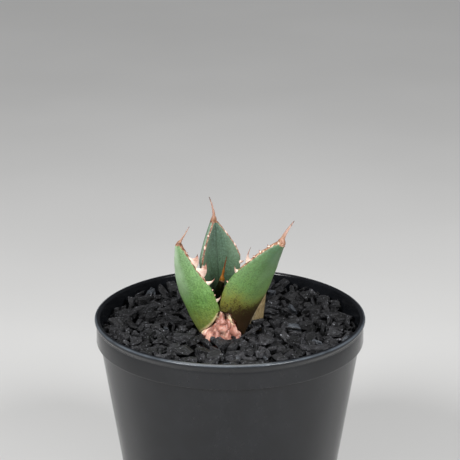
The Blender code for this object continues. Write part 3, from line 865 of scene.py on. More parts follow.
LEFT_LEAF = Leaf(
    piece="left_leaf",
    node="leaf_left",
    base=(-4.7, -2.6, 82.0),
    belly=(-14.3, -7.2, 103.0),
    apex=(-19.0, -10.6, 123.6),
    bend=(-17.6, -10.6, 125.8),
    tip=(-15.3, -10.0, 129.9),
    face=(0.68, 0.70, 0.24),
    half_base=7.4,
    half_width=9.0,
    widest=0.50,
    taper=1.15,
    half_apex=0.5,
    thickness=4.6,
    curl=0.75,
    rim_from=0.50,
    teeth=(
        Tooth(-1, 0.38, 2.0, 2.4, 1.8),
        Tooth(-1, 0.44, 0.8, 0.6, 0.3),
        Tooth(-1, 0.50, 0.8, 0.5, 0.3),
        Tooth(-1, 0.575, 2.4, 3.5, 2.0),
        Tooth(-1, 0.63, 0.8, 0.5, 0.3),
        Tooth(-1, 0.69, 5.6, 3.6, 4.6),
        Tooth(-1, 0.80, 6.6, 2.6, 3.8),
        Tooth(-1, 0.90, 0.8, 0.5, 0.4),
        Tooth(1, 0.86, 2.6, 2.4, 1.0),
    ),
)
RIGHT_LEAF = Leaf(
    piece="right_leaf",
    node="leaf_right",
    base=(-0.6, -2.6, 82.0),
    belly=(7.6, -8.2, 104.5),
    apex=(19.0, -13.0, 124.6),
    bend=(20.2, -13.2, 128.4),
    tip=(24.0, -14.0, 133.4),
    face=(-0.50, 0.80, 0.40),
    half_base=6.0,
    half_width=10.4,
    widest=0.50,
    taper=1.5,
    half_apex=1.3,
    thickness=5.0,
    curl=0.60,
    rim_from=0.58,
    teeth=(
        Tooth(1, 0.52, 0.9, 0.7, 0.4),
        Tooth(1, 0.63, 2.6, 1.8, 2.2),
        Tooth(1, 0.745, 3.4, 2.2, 6.2),
        Tooth(1, 0.80, 1.0, 0.6, 0.4),
        Tooth(1, 0.855, 1.8, 1.0, 0.8),
        Tooth(1, 0.925, 1.8, 0.9, 0.8),
        Tooth(-1, 0.90, 2.2, 2.6, 1.8),
    ),
)
BACK_LEAF = Leaf(
    piece="back_leaf",
    node="leaf_back",
    base=(-3.8, 3.2, 82.0),
    belly=(-4.9, 7.4, 104.4),
    apex=(-6.0, 9.0, 125.8),
    bend=(-6.0, 9.2, 130.6),
    tip=(-8.1, 9.0, 135.7),
    face=(0.50, -0.86, 0.10),
    half_base=6.0,
    half_width=9.5,
    widest=0.66,
    taper=1.25,
    half_apex=0.9,
    thickness=4.4,
    curl=0.95,
    rim_from=0.55,
    teeth=(
        Tooth(-1, 0.62, 1.6, 2.0, -1.2),
        Tooth(-1, 0.78, 2.0, 0.7, -0.6),
        Tooth(-1, 0.88, 1.4, 0.6, -0.4),
        Tooth(1, 0.60, 2.4, 1.6, 0.6),
        Tooth(1, 0.76, 2.4, 0.7, -0.7),
        Tooth(1, 0.88, 2.0, 0.6, -0.7),
    ),
    roll=0.15,
)
YOUNG_LEAF = Leaf(
    piece="young_leaf",
    node="leaf_young",
    base=(-4.8, 0.6, 88.0),
    belly=(-4.6, 0.2, 96.5),
    apex=(-3.0, 0.8, 104.2),
    bend=(-2.6, 0.9, 108.0),
    tip=(-1.2, 1.0, 114.2),
    face=(0.55, 0.80, 0.10),
    half_base=2.2,
    half_width=2.4,
    widest=0.40,
    taper=1.3,
    half_apex=0.9,
    thickness=2.2,
    curl=1.00,
    rim_from=0.85,
    teeth=(Tooth(-1, 0.88, 1.4, 1.6, 0.8), Tooth(-1, 0.70, 1.4, 1.2, 0.6), Tooth(1, 0.92, 1.2, 1.2, 1.0)),
)
DRY_LEAF = Leaf(
    piece="dry_leaf_sliver",
    node="leaf_dry",
    base=(9.0, 5.0, 79.0),
    belly=(11.4, 6.2, 89.6),
    apex=(13.8, 7.4, 98.9),
    bend=(14.0, 7.5, 99.6),
    tip=(14.2, 7.6, 100.2),
    face=(-0.35, 0.90, 0.20),
    half_base=2.9,
    half_width=2.8,
    widest=0.20,
    taper=1.3,
    half_apex=0.5,
    thickness=0.9,
    curl=0.35,
    rim_from=2.0,
    teeth=(),
)


def curve_through(base, belly, apex, t):
    """A quadratic curve that starts at base, passes belly halfway and ends at apex."""
    pull = 2 * belly - (base + apex) / 2
    return (1 - t) ** 2 * base + 2 * t * (1 - t) * pull + t * t * apex


def unit(v):
    return v / np.linalg.norm(v)


class Station(NamedTuple):
    """Where a cross-section of a leaf lies, and its size, in millimetres."""

    centre: np.ndarray
    run: np.ndarray
    half: float
    thick: float
    curl: float
    along: float
    point: float


def blade_half_width(leaf, t):
    if t < leaf.widest:
        swell = float(smooth_step(0, 1, t / leaf.widest))
        return leaf.half_base + (leaf.half_width - leaf.half_base) * swell
    fall = (t - leaf.widest) / (1 - leaf.widest)
    return leaf.half_apex + (leaf.half_width - leaf.half_apex) * (1 - fall**leaf.taper)


def blade_station(leaf, t):
    midrib = [np.array(p) for p in (leaf.base, leaf.belly, leaf.apex)]
    run = unit(curve_through(*midrib, t + 0.01) - curve_through(*midrib, t - 0.01))
    thick = leaf.thickness * (1 - 0.62 * t**1.5)
    curl = leaf.curl * (1 - 0.3 * t)
    return Station(curve_through(*midrib, t), run, blade_half_width(leaf, t), thick, curl, t, 0.0)


def spine_station(leaf, t):
    apex, bend, tip = (np.array(p) for p in (leaf.apex, leaf.bend, leaf.tip))
    centre = (1 - t) ** 2 * apex + 2 * t * (1 - t) * bend + t * t * tip
    run = unit((1 - t) * (bend - apex) + t * (tip - bend))
    flare = 1 - float(smooth_step(0, 0.30, t))
    half = leaf.half_apex * (0.40 * (1 - t) ** 0.8 + 0.60 * flare) + 0.05
    thick = min(leaf.thickness * 0.38, 1.6 * half)
    return Station(centre, run, half, thick, leaf.curl * 0.7 * (1 - t), 1 + t, t)


def leaf_axes(leaf, run):
    across = unit(np.cross(run, np.array(leaf.face)))
    return across, np.cross(across, run)


def section_curve(leaf, station, shares):
    """Offsets across and over, and the turn, at each share of the half width from the midrib."""
    middle = WALK_STEPS // 2
    walk = np.linspace(-1, 1, WALK_STEPS + 1)
    roll = leaf.roll * float(smooth_step(0.1, 0.4, station.along)) * (1 - station.point)
    turn = station.curl * walk - roll * np.where(walk < 0, walk**4, 0)
    step = (walk[1] - walk[0]) * station.half
    flat = np.concatenate(([0], np.cumsum((np.cos(turn[1:]) + np.cos(turn[:-1])) / 2) * step))
    rise = np.concatenate(([0], np.cumsum((np.sin(turn[1:]) + np.sin(turn[:-1])) / 2) * step))
    return [np.interp(shares, walk, v) for v in (flat - flat[middle], rise - rise[middle], turn)]


def section_depth(leaf, station, s, face, margin):
    """How far the skin lies off the middle of the blade at share s of the half width."""
    body = max(0.0, 1 - s * s) ** 0.6
    edge = min(0.9, margin / max(station.half, 0.05))
    rounding = math.sqrt(max(0.0, 1 - max(0.0, (abs(s) - 1 + edge) / edge) ** 2))
    depth = margin * rounding + (0.15 if face > 0 else 0.85) * station.thick * body
    if face > 0 and station.point == 0:
        depth -= 0.30 * math.exp(-((s / 0.06) ** 2)) * min(1.0, station.half / 4)
    dent = noise.noise(Vector((s * station.half * 0.35, station.along * 9, 5 * face + leaf.thickness)))
    return depth + 0.22 * dent * body * min(1.0, station.half / 6)


def horn_share(leaf, station, s, face, horn):
    """How horny the skin is: on the rim and where the blade ends in the spine."""
    rim = horn * max(0.0, 1 - (1 - abs(s)) * station.half / RIM_WIDTH)
    if leaf.roll and s < 0 and face < 0:
        rim = 0.0
    return max(1.35 * rim, float(smooth_step(0.985, 0.999, station.along)) * HORN_ENDING)


def cross_section(leaf, station):
    """Rows (point, share, horn, face), once round from a margin over the upper face and back under."""
    across, over = leaf_axes(leaf, station.run)
    shares = [math.sin(math.pi / 2 * (2 * k / ACROSS - 1)) for k in range(ACROSS + 1)]
    walk = [(s, 1) for s in shares] + [(s, -1) for s in shares[-2:0:-1]]
    horn = float(smooth_step(leaf.rim_from, leaf.rim_from + 0.18, station.along))
    margin = min(MARGIN_HALF, station.thick / 2 + 0.03) * (1 + 0.3 * horn)
    rows = []
    for (s, face), flat, rise, turn in zip(walk, *section_curve(leaf, station, [s for s, _ in walk])):
        side = across * math.cos(turn) + over * math.sin(turn)
        skin = over * math.cos(turn) - across * math.sin(turn)
        depth = section_depth(leaf, station, s, face, margin)
        wave = noise.noise(Vector((station.along * 34, s * 3, leaf.thickness)))
        outward = horn * (0.08 + 0.24 * wave) * float(smooth_step(0.75, 1.0, abs(s)))
        middle = station.centre + across * flat + over * rise
        point = middle + skin * face * depth + side * np.sign(s) * outward
        rows.append((point, s, horn_share(leaf, station, s, face, horn), face))
    return rows


def leaf_mesh(leaf):
    """The blade and its spine as one closed mesh with the values its material reads."""
    stations = [blade_station(leaf, k / ALONG_BLADE) for k in range(ALONG_BLADE)]
    stations += [spine_station(leaf, k / ALONG_SPINE) for k in range(ALONG_SPINE + 1)]
    rows = [(station, *row) for station in stations for row in cross_section(leaf, station)]
    points = [place * MM for _, place, _, _, _ in rows]
    mesh = mesh_from(leaf.piece, points, ring_faces(len(stations), 2 * ACROSS))
    face_out(mesh)
    fibre = [(s * at.half * FIBRE_ACROSS, at.along * FIBRE_ALONG, face * 0.05) for at, _, s, _, face in rows]
    set_values(
        mesh,
        across=[s for _, _, s, _, _ in rows],
        horn=[horn for _, _, _, horn, _ in rows],
        along=[min(at.along, 1.0) for at, *_ in rows],
        point=[at.point for at, *_ in rows],
        tooth=0.0,
        fibre=fibre,
    )
    return mesh


def tooth_ring(tooth, u, centre, wide, skin):
    """The points round a tooth at share u of its length."""
    half_wide = tooth.foot / 2 * (1 - u) ** (2.1 if tooth.foot < 4 else 1.3) * (1 - 0.2 * u) + 0.04
    half_thick = 0.50 * (1 - u) ** 0.9 + 0.035
    half_wide = max(half_wide, min(half_thick, 0.42 * (1 - u) + 0.04))
    points = []
    for k in range(TOOTH_SIDES):
        a = 2 * math.pi * k / TOOTH_SIDES
        rough = 1 + 0.12 * noise.noise(Vector((math.cos(a) * 2, u * 6, tooth.place * 40 + k * 0.01)))
        out = wide * half_wide * math.cos(a) * rough + skin * half_thick * math.sin(a)
        points.append((centre + out) * MM)
    return points


def tooth_mesh(leaf, tooth):
    """A curved, flattened thorn with a broad foot on the margin."""
    station = blade_station(leaf, tooth.place)
    across, over = leaf_axes(leaf, station.run)
    flat, rise, turn = (float(v) for v in section_curve(leaf, station, tooth.side))
    margin = station.centre + across * flat + over * rise
    side = (across * math.cos(turn) + over * math.sin(turn)) * tooth.side
    skin = over * math.cos(turn) - across * math.sin(turn)
    start = margin - side * 0.6
    tip = margin + side * tooth.reach + station.run * tooth.lean
    pull = margin + side * tooth.reach * 0.72 + station.run * tooth.lean * 0.10
    points, shares = [], []
    for ring in range(TOOTH_RINGS):
        u = ring / (TOOTH_RINGS - 1)
        centre = (1 - u) ** 2 * start + 2 * u * (1 - u) * pull + u * u * tip
        wide = unit(np.cross(skin, unit((1 - u) * (pull - start) + u * (tip - pull))))
        points += tooth_ring(tooth, u, centre, wide, skin)
        shares += [u] * TOOTH_SIDES
    mesh = mesh_from(f"{leaf.piece}_tooth", points, ring_faces(TOOTH_RINGS, TOOTH_SIDES))
    face_out(mesh)
    tones = [0.15 + 0.85 * u for u in shares]
    set_values(mesh, across=tooth.side, horn=1.4, along=tooth.place, point=0.0, tooth=tones)
    set_values(mesh, fibre=np.zeros((len(points), 3)))
    return mesh


def torn_edge(mesh):
    """1 where a leaf was torn round the stem, falling to 0 a little way off."""
    values = []
    for v in mesh.vertices:
        p = v.co / MM
        radius, x, y = stem_ring(p.z)
        stretch = FRONT_CLEARANCE if p.y < y else 1
        off = abs(math.hypot(p.x - x, (p.y - y) / stretch) - radius - STEM_GAP)
        values.append(float(smooth_step(1.1, 0.35, off)) * (p.z < STEM_RINGS[-1][3]))
    return values


def build_leaf(leaf, made_of):
    """A leaf with its teeth, cut away round the stem. The dry leaf stands clear of it."""
    piece = add_object(leaf.piece, leaf_mesh(leaf), made_of)
    if leaf != DRY_LEAF:
        cut_away(piece, stem_room())
        set_values(piece.data, torn=torn_edge(piece.data))
        teeth = [tooth_mesh(leaf, tooth) for tooth in leaf.teeth]
        piece.data = join_meshes(leaf.piece, [piece.data] + teeth)
        piece.data.materials.append(made_of)
    piece.data.shade_smooth()
    piece.data.set_sharp_from_angle(angle=LEAF_SHARP_ANGLE)
    keep_piece(piece, "dry_leaf" if leaf == DRY_LEAF else "green_leaf", leaf.node)


# Charcoal: lengths in millimetres

BED_DEPTH = 3.4
BED_RINGS, BED_SIDES = 100, 260
BED_RADIUS = 48.5
BED_FLOOR = 76.2
HOLLOW_FLOOR = 76.4
PILE_REACH, CELL = 52, 0.4
EVENED_CELLS = 13
GAP_SHADE_DEPTHS = (-0.3, 1.2)
PAST_WALL = 1.0
STEM_AT_BED, PAST_STEM = 84.0, 0.8
LEAF_FEET = 87
DROP_RADIUS, DROP_TRIES = 49, 16
DROPPED_TILT, LOOSE_TILT = 26, 6
LOOSE_SHAPE = np.array((1.0, 0.75, 0.55))
SHAPES_OF_A_KIND = 36
PAINTED_SHEEN_SHARE = 0.03
SLIVER_SHARE = 0.25
CHIP_SHARP_ANGLE = math.radians(22)
FAR = 1e9
LEVEL_PLANE = 0.02


class Shape(NamedTuple):
    """A unit chip: points, triangles, how worn each point is, and the planes that bound it."""

    points: np.ndarray
    triangles: np.ndarray
    worn: np.ndarray
    normals: np.ndarray
    offsets: np.ndarray


class Kind(NamedTuple):
    """A kind of chip.

    share is its share of all pieces, cuts how finely it is roughened, shortest and longest its lengths as
    shares of the range from smallest to largest, and excess how far it may stand out of the bed.
    """

    share: float
    cuts: int
    shortest: float
    longest: float
    excess: float


KINDS = (
    Kind(0.20, 3, 0.50, 1.0, 2.0),
    Kind(0.42, 1, 0.26, 0.60, 1.3),
    Kind(0.16, 0, 0.0, 0.25, 0.2),
)


class Chip(NamedTuple):
    """A chip in its place, its half sizes, and how light it is, 0 to 1, painted light and shade included."""

    shape: Shape
    sizes: np.ndarray
    points: np.ndarray
    tone: float


def break_off(bm, dice):
    """Cuts one corner or side off a block and closes the cut."""
    normal = Vector((dice.gauss(0, 1), dice.gauss(0, 1), dice.gauss(0, 1))).normalized()
    reach = max(v.co.dot(normal) for v in bm.verts)
    place = normal * reach * dice.uniform(0.45, 0.86)
    geometry = bm.verts[:] + bm.edges[:] + bm.faces[:]
    cut = bmesh.ops.bisect_plane(bm, geom=geometry, plane_co=place, plane_no=normal, clear_outer=True)
    bmesh.ops.holes_fill(bm, edges=[g for g in cut["geom_cut"] if isinstance(g, bmesh.types.BMEdge)])


def broken_block(dice, cuts):
    """A unit block with corners and sides broken off, roughened along the grain, which lies in x."""
    bm = bmesh.new()
    bmesh.ops.create_cube(bm, size=2)
    for _ in range(dice.randint(5, 8)):
        break_off(bm, dice)
    bmesh.ops.dissolve_degenerate(bm, dist=0.06, edges=bm.edges)
    bmesh.ops.recalc_face_normals(bm, faces=bm.faces)
    bm.normal_update()
    normals = np.array([f.normal[:] for f in bm.faces])
    offsets = np.array([f.normal.dot(f.verts[0].co) for f in bm.faces])
    bmesh.ops.triangulate(bm, faces=bm.faces)
    if cuts:
        bmesh.ops.subdivide_edges(bm, edges=bm.edges, cuts=cuts, use_grid_fill=True)
        bmesh.ops.triangulate(bm, faces=bm.faces)
    bm.normal_update()
    seed = Vector((dice.uniform(0, 99), dice.uniform(0, 99), dice.uniform(0, 99)))
    points, worn = [], []
    for v in bm.verts:
        planes = int((normals @ np.array(v.co) - offsets > -0.01).sum())
        rough = 0.12 * noise.noise(v.co * 2.0 + seed)
        grain = 0.10 * noise.noise(Vector((v.co.x * 0.7, v.co.y * 5, v.co.z * 5)) + seed)
        chipped = 0.08 * abs(noise.noise(v.co * 4 + seed)) if planes > 1 else 0
        points.append((v.co + v.normal * ((rough + grain) * (cuts > 0) - chipped))[:])
        worn.append(min(1.0, max(0, planes - 1)) if cuts else 0.2)
    bm.verts.index_update()
    triangles = np.array([[v.index for v in f.verts] for f in bm.faces])
    bm.free()
    return Shape(np.array(points), triangles, np.array(worn, float), normals, offsets)


class Pile:
    """A height map on which chips are dropped."""

    def __init__(self):
        self.side = int(2 * PILE_REACH / CELL)
        axis = (np.arange(self.side) + 0.5) * CELL - PILE_REACH
        self.x, self.y = np.meshgrid(axis, axis, indexing="ij")
        self.height = bed_level(self.x, self.y) - BED_DEPTH
        self.blocked = np.zeros((self.side, self.side), bool)

    def window(self, x, y, half):
        low_i, low_j = (int((v - half + PILE_REACH) / CELL) for v in (x, y))
        high_i, high_j = (int((v + half + PILE_REACH) / CELL) + 2 for v in (x, y))
        return slice(max(low_i, 0), min(high_i, self.side)), slice(max(low_j, 0), min(high_j, self.side))

    def surfaces(self, x, y, half, normals, offsets):
        """The chip's underside and top over the cells it covers, as if its centre were at height 0."""
        area = self.window(x, y, half)
        dx, dy = self.x[area] - x, self.y[area] - y
        low = np.full(dx.shape, -FAR)
        high = np.full(dx.shape, FAR)
        for (nx, ny, nz), d in zip(normals, offsets):
            level = d - nx * dx - ny * dy
            if nz < -LEVEL_PLANE:
                low = np.maximum(low, level / nz)
            elif nz > LEVEL_PLANE:
                high = np.minimum(high, level / nz)
            else:
                high = np.where(level < 0, -FAR, high)
        return area, low, high, low < high

    def rest_height(self, x, y, half, normals, offsets):
        """How high the chip's centre comes to rest, or None where something stands in its way."""
        area, low, _, covered = self.surfaces(x, y, half, normals, offsets)
        if not covered.any() or self.blocked[area][covered].any():
            return None
        return float((self.height[area][covered] - low[covered]).max())

    def settle(self, x, y, z, half, normals, offsets):
        """Raises the surface to the top of a chip that came to rest."""
        area, _, high, covered = self.surfaces(x, y, half, normals, offsets)
        self.height[area] = np.where(covered, np.maximum(self.height[area], high + z), self.height[area])

    def even_out(self):
        """Keeps the pile's surface, evened out over some millimetres."""
        level = np.where(self.blocked, bed_level(self.x, self.y), self.height)
        window = np.full(EVENED_CELLS, 1 / EVENED_CELLS)
        for axis in (0, 1):
            level = np.apply_along_axis(np.convolve, axis, level, window, mode="same")
        self.evened = level

    def depth(self, places):
        """How deep each point lies in the gaps between the chips, 0 to 1. The charcoal is painted darker by
        it, as painted shade.
        """
        i, j = (((places[:, k] + PILE_REACH) / CELL).astype(int).clip(0, self.side - 1) for k in (0, 1))
        return smooth_step(*GAP_SHADE_DEPTHS, self.evened[i, j] - places[:, 2])


def bed_level(x, y):
    """Height of the bed, heaped a little against the back wall, the stem and the dry leaf."""
    near_stem = np.exp(-(((x + 1) / 9) ** 2) - ((y + 15) / 7) ** 2)
    near_dry = 0.9 * np.exp(-(((x - 12) / 5) ** 2) - ((y + 1) / 5) ** 2)
    return 86.0 + 2.6 * smooth_step(5, 48, y) + near_stem + near_dry


def block_out(pile, settings):
    """Marks the cells that the wall, the stem and the leaves take up."""
    pile.blocked |= np.hypot(pile.x, pile.y) > inner_radius(settings, settings.height) / MM + PAST_WALL
    radius, x, y = stem_ring(STEM_AT_BED)
    pile.blocked |= np.hypot(pile.x - x, pile.y - y) < radius - PAST_STEM
    spots = [(a, b) for a in np.linspace(0, 1, 7) for b in np.linspace(0, 1 - a, 7)]
    for name in ("leaf_left", "leaf_right", "leaf_back", "leaf_dry"):
        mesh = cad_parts[name].data
        mesh.calc_loop_triangles()
        for triangle in mesh.loop_triangles:
            corners = np.array([mesh.vertices[i].co[:] for i in triangle.vertices]) / MM
            if corners[:, 2].min() > LEAF_FEET:
                continue
            for a, b in spots:
                p = corners[0] * a + corners[1] * b + corners[2] * (1 - a - b)
                i, j = (int((v + PILE_REACH) / CELL) for v in p[:2])
                pile.blocked[i, j] = True


def fitted(shape, sizes, rotation):
    """A chip's points, plane normals and offsets in millimetres, after scaling and turning it."""
    points = shape.points * sizes @ rotation.T
    normals = shape.normals / sizes
    lengths = np.linalg.norm(normals, axis=1)
    return points, (normals / lengths[:, None]) @ rotation.T, shape.offsets / lengths


def random_turn(dice, tilt):
    yaw = Matrix.Rotation(dice.uniform(0, 2 * math.pi), 3, "Z")
    lean = Matrix.Rotation(math.radians(dice.gauss(0, tilt)), 3, "X")
    pitch = Matrix.Rotation(math.radians(dice.gauss(0, tilt)), 3, "Y")
    roll = Matrix.Rotation(dice.choice((0, 0.5, 1, 1.5)) * math.pi, 3, "X")
    return np.array(yaw @ lean @ pitch @ roll)


def chip_sizes(longest, dice):
    """Half sizes of a chip. Some are slivers."""
    if dice.random() < SLIVER_SHARE:
        middle, least = longest * dice.uniform(0.20, 0.36), longest * dice.uniform(0.12, 0.24)
    else:
        middle = longest * dice.uniform(0.50, 0.90)
        least = middle * dice.uniform(0.40, 0.85)
    return np.array((longest, middle, least)) / 2


def chip_tone(dice, places):
    """Dusty chips are lighter, at random. On top of that, painted light: the front of the bed is painted
    lighter and its sides darker. A few chips get a painted bluish sheen.
    """
    if dice.random() < PAINTED_SHEEN_SHARE:
        return 1.0
    # Painted light: tone is raised towards the front of the bed and lowered towards its sides.
    x, y = places[:, 0].mean(), places[:, 1].mean()
    side = float(smooth_step(12, 40, abs(x)))
    return dice.random() ** (1 + 1.4 * side) * (0.34 + 0.60 * float(smooth_step(20, -32, y)))


def drop_chip(pile, shape, sizes, dice, excess):
    """Drops a chip at the best of some places. Returns its points, or None if it would stand too proud."""
    points, normals, offsets = fitted(shape, sizes, random_turn(dice, DROPPED_TILT))
    half = float(np.abs(points[:, :2]).max()) + CELL
    top = float(points[:, 2].max())
    best = None
    for _ in range(DROP_TRIES):
        distance, angle = DROP_RADIUS * math.sqrt(dice.random()), dice.uniform(0, 2 * math.pi)
        x, y = distance * math.cos(angle), distance * math.sin(angle)
        z = pile.rest_height(x, y, half, normals, offsets)
        if z is None:
            continue
        proud = z + top - float(bed_level(x, y))
        if best is None or proud < best[0]:
            best = (proud, x, y, z)
    if best is None or best[0] > excess:
        return None
    pile.settle(*best[1:], half, normals, offsets)
    return points + np.array(best[1:])


def dropped_chips(pile, shapes, settings, dice):
    """Drops every kind of chip, the large ones first."""
    smallest, largest = settings.smallest / MM, settings.largest / MM
    chips = []
    for kind, blocks in zip(KINDS, shapes):
        for _ in range(int(settings.pieces * kind.share)):
            shape = dice.choice(blocks)
            longest = smallest + (largest - smallest) * dice.uniform(kind.shortest, kind.longest)
            sizes = chip_sizes(longest, dice)
            points = drop_chip(pile, shape, sizes, dice, kind.excess)
            if points is not None:
                chips.append(Chip(shape, sizes, points, chip_tone(dice, points)))
    return chips


def loose_chip(low, high, blocks, dice):
    """A chip that fills the box from low to high."""
    shape = dice.choice(blocks)
    turned = shape.points * LOOSE_SHAPE @ np.array(random_turn(dice, LOOSE_TILT)).T
    middle = (turned.max(0) + turned.min(0)) / 2
    points = (turned - middle) * ((high - low) / (turned.max(0) - turned.min(0))) + (high + low) / 2
    return Chip(shape, (high - low) / 2, points, chip_tone(dice, points))


def mesh_from_triangles(name, points, triangles):
    mesh = bpy.data.meshes.new(name)
    mesh.vertices.add(len(points))
    mesh.vertices.foreach_set("co", points.astype(np.float32).ravel())
    mesh.loops.add(3 * len(triangles))
    mesh.loops.foreach_set("vertex_index", triangles.astype(np.int32).ravel())
    mesh.polygons.add(len(triangles))
    mesh.polygons.foreach_set("loop_start", np.arange(0, 3 * len(triangles), 3, dtype=np.int32))
    mesh.update(calc_edges=True)
    mesh.validate()
    mesh.set_sharp_from_angle(angle=CHIP_SHARP_ANGLE)
    return mesh


def chips_mesh(name, chips, pile):
    """One mesh of many chips, with what the charcoal material reads."""
    starts = np.cumsum([0] + [len(chip.points) for chip in chips])
    points = np.concatenate([chip.points * MM for chip in chips])
    triangles = np.concatenate([chip.shape.triangles + start for chip, start in zip(chips, starts)])
    mesh = mesh_from_triangles(name, points, triangles)
    set_values(
        mesh,
        tone=np.concatenate([np.full(len(chip.points), chip.tone) for chip in chips]),
        worn=np.concatenate([chip.shape.worn for chip in chips]),
        # depth: how much painted shade each point gets in the gaps
        depth=np.concatenate([pile.depth(chip.points) for chip in chips]),
        grain=np.concatenate([(chip.shape.points * chip.sizes + chip.tone * 400) * MM for chip in chips]),
    )
    return mesh


def bed_mesh():
    """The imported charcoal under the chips: a closed, crumbly disc with a hollow for the stem."""
    radii = np.linspace(0.3, BED_RADIUS, BED_RINGS)
    turns = [2 * math.pi * k / BED_SIDES for k in range(BED_SIDES)]
    points = []
    for r in radii:
        for a in turns:
            x, y = r * math.cos(a), r * math.sin(a)
            hollow = float(smooth_step(10.6, 9.3, math.hypot(x + 3.2, y + 5.2)))
            crumbs = 0.8 * noise.noise(Vector((x, y, 0)) * 0.5) + 0.5 * noise.noise(Vector((x, y, 5)) * 1.4)
            height = float(bed_level(x, y)) - BED_DEPTH - 0.9 + crumbs
            points.append((x, y, height + (HOLLOW_FLOOR - height) * hollow))
    for r in radii[::-11].clip(max=BED_RADIUS - 0.6):
        points += [(r * math.cos(a), r * math.sin(a), BED_FLOOR) for a in turns]
    points = [Vector(p) * MM for p in points]
    mesh = mesh_from("charcoal_crumbs", points, ring_faces(len(points) // BED_SIDES, BED_SIDES))
    face_out(mesh)
    # The crumbs get the darkest tone and full painted shade, as if deep in the gaps.
    set_values(mesh, tone=0.0, worn=0.0, depth=1.0, grain=points)
    return mesh


def build_charcoal(settings):
    dice = random.Random(settings.seed)
    made_of = charcoal_material(settings)
    shapes = [[broken_block(dice, kind.cuts) for _ in range(SHAPES_OF_A_KIND)] for kind in KINDS]
    pile = Pile()
    block_out(pile, bpy.context.scene.agave_pot)
    chips = dropped_chips(pile, shapes, settings, dice)
    pile.even_out()
    keep_piece(add_object("charcoal_crumbs", bed_mesh(), made_of), "charcoal", "charcoal_bed")
    packed = chips_mesh("packed_charcoal", chips, pile)
    keep_piece(add_object("packed_charcoal", packed, made_of), "charcoal", "charcoal_bed")
    for number, node in enumerate(CHIP_NODES, 1):
        name = f"loose_chip_{number:02}"
        low, high = (np.array(corner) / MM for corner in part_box(node))
        mesh = chips_mesh(name, [loose_chip(low, high, shapes[0], dice)], pile)
        keep_piece(add_object(name, mesh, made_of), "charcoal", node)


# Stage

FLOOR_HALF = 4.0
AIM = Vector((0, 0, 0.09))
LAMP_SIZE = 0.34
KEY_PLACE = Vector((-0.46, -0.52, 0.60))
FILL_PLACE = Vector((0.50, -0.50, 0.58))
OVERHEAD_FROM = Vector((-0.05, 0.27, 1.0))
OVERHEAD_SPREAD = math.radians(30)
SKY_COLOUR = (0.92, 0.95, 1.0)
SKY_LIGHT, SKY_SEEN = 0.07, 0.37
CAMERA_PLACE = (0, -0.6531, 0.3420)
CAMERA_TILT = math.radians(71.637)
CAMERA_SENSOR = 36


def add_lamp(light, direction):
    """Puts a light into the scene that shines from the given direction. Returns its object."""
    lamp = bpy.data.objects.new(light.name, light)
    lamp.rotation_euler = direction.to_track_quat("Z", "Y").to_euler()
    bpy.context.scene.collection.objects.link(lamp)
    return lamp


def add_area_lamp(name, power, place):
    light = bpy.data.lights.new(name, "AREA")
    light.shape = "DISK"
    light.size = LAMP_SIZE
    light.energy = power
    add_lamp(light, place - AIM).location = place


def build_sky():
    """A world that lights the object faintly and looks paler to the camera."""
    world = bpy.data.worlds.new("studio")
    world.use_nodes = True
    nodes = Nodes(world.node_tree)
    background = world.node_tree.nodes["Background"]
    nodes.give(SKY_COLOUR, background.inputs["Color"])
    seen = nodes.node("LightPath").outputs["Is Camera Ray"]
    nodes.give(nodes.ease(seen, 0, 1, SKY_LIGHT, SKY_SEEN), background.inputs["Strength"])
    bpy.context.scene.world = world


def build_camera(lens):
    camera = bpy.data.cameras.new("camera")
    camera.lens = lens
    camera.sensor_width = CAMERA_SENSOR
    holder = bpy.data.objects.new("camera", camera)
    holder.location = CAMERA_PLACE
    holder.rotation_euler = (CAMERA_TILT, 0, 0)
    bpy.context.scene.collection.objects.link(holder)
    bpy.context.scene.camera = holder


def build_stage(settings):
    half = FLOOR_HALF
    corners = [(-half, -half, 0), (half, -half, 0), (half, half, 0), (-half, half, 0)]
    add_object("floor", mesh_from("floor", corners, [(0, 1, 2, 3)]), floor_material())
    add_area_lamp("key", settings.key_power, KEY_PLACE)
    add_area_lamp("fill", settings.fill_power, FILL_PLACE)
    overhead = bpy.data.lights.new("overhead", "SUN")
    overhead.energy = settings.overhead
    overhead.angle = OVERHEAD_SPREAD
    add_lamp(overhead, OVERHEAD_FROM)
    build_sky()
    build_camera(settings.lens)
    bpy.context.scene.view_settings.view_transform = "Standard"


# Operators


class AGAVE_OT_stage(bpy.types.Operator):
    """Sets up the floor, the lamps and the camera"""

    bl_idname = "agave.stage"
    bl_label = "Stage"

    def execute(self, context):
        build_stage(context.scene.agave_studio)
        return {"FINISHED"}


class AGAVE_OT_pot(bpy.types.Operator):
    """Builds the pot"""

    bl_idname = "agave.pot"
    bl_label = "Pot"

    def execute(self, context):
        build_pot(context.scene.agave_pot)
        return {"FINISHED"}


class AGAVE_OT_filling(bpy.types.Operator):
    """Gives the soil and the roots their finish"""

    bl_idname = "agave.filling"
    bl_label = "Soil and roots"

    def execute(self, context):
        bark = root_material()
        for name, made_of in [("soil", soil_material())] + [(name, bark) for name in ROOT_NODES]:
            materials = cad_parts[name].data.materials
            materials.clear()
            materials.append(made_of)
        return {"FINISHED"}


class AGAVE_OT_stem(bpy.types.Operator):
    """Builds the callused stem"""

    bl_idname = "agave.stem"
    bl_label = "Stem"

    def execute(self, context):
        build_stem(context.scene.agave_plant)
        return {"FINISHED"}


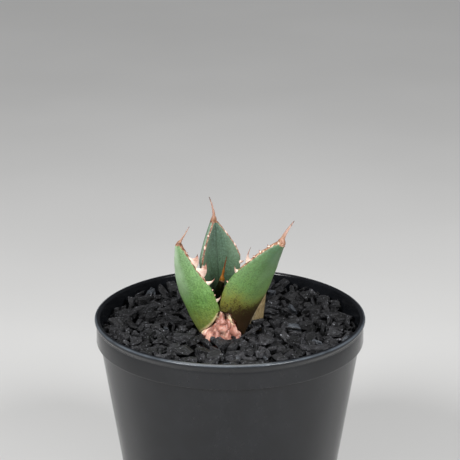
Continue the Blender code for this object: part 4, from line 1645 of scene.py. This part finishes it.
class AGAVE_OT_leaves(bpy.types.Operator):
    """Builds the leaves with their spines and teeth"""

    bl_idname = "agave.leaves"
    bl_label = "Leaves"

    def execute(self, context):
        plant = context.scene.agave_plant
        colours = (plant.blade_low, plant.blade_middle, plant.blade_top)
        # The bloom on the left margin is partly painted rim light.
        left_skin = Skin(*colours, bloom=0.80, bloom_side=1, scar=0.4)
        for leaf, skin in (
            (LEFT_LEAF, left_skin),
            (RIGHT_LEAF, RIGHT_SKIN),
            (BACK_LEAF, BACK_SKIN),
            (YOUNG_LEAF, YOUNG_SKIN_IN_PAINTED_SHADE),
        ):
            build_leaf(leaf, blade_material(f"{leaf.piece}_skin", skin, plant.bloom, plant.rim_colour))
        build_leaf(DRY_LEAF, dry_material())
        return {"FINISHED"}


class AGAVE_OT_charcoal(bpy.types.Operator):
    """Drops the charcoal chips round the plant"""

    bl_idname = "agave.charcoal"
    bl_label = "Charcoal"

    def execute(self, context):
        build_charcoal(context.scene.agave_charcoal)
        return {"FINISHED"}


OPERATORS = (
    AGAVE_OT_stage,
    AGAVE_OT_pot,
    AGAVE_OT_filling,
    AGAVE_OT_stem,
    AGAVE_OT_leaves,
    AGAVE_OT_charcoal,
)


class AGAVE_PT_panel(bpy.types.Panel):
    """Lists the pieces"""

    bl_idname = "AGAVE_PT_panel"
    bl_label = "Potted Agave"
    bl_space_type = "VIEW_3D"
    bl_region_type = "UI"
    bl_category = "Agave"

    def draw(self, context):
        for operator in OPERATORS:
            self.layout.operator(operator.bl_idname)
        for group in SETTINGS:
            settings = getattr(context.scene, group)
            box = self.layout.box()
            for name in settings.bl_rna.properties.keys():
                if name not in ("rna_type", "name"):
                    box.prop(settings, name)


SETTINGS = {
    "agave_pot": PotSettings,
    "agave_charcoal": CharcoalSettings,
    "agave_plant": PlantSettings,
    "agave_studio": StudioSettings,
}


def register():
    for group in SETTINGS.values():
        bpy.utils.register_class(group)
    for name, group in SETTINGS.items():
        setattr(bpy.types.Scene, name, PointerProperty(type=group))
    for operator in OPERATORS:
        bpy.utils.register_class(operator)
    bpy.utils.register_class(AGAVE_PT_panel)


def unregister():
    bpy.utils.unregister_class(AGAVE_PT_panel)
    for operator in reversed(OPERATORS):
        bpy.utils.unregister_class(operator)
    for name in SETTINGS:
        delattr(bpy.types.Scene, name)
    for group in reversed(SETTINGS.values()):
        bpy.utils.unregister_class(group)


def main():
    register()
    bpy.ops.agave.stage()
    bpy.ops.agave.pot()
    bpy.ops.agave.filling()
    bpy.ops.agave.stem()
    bpy.ops.agave.leaves()
    bpy.ops.agave.charcoal()


if __name__ == "__main__":
    main()
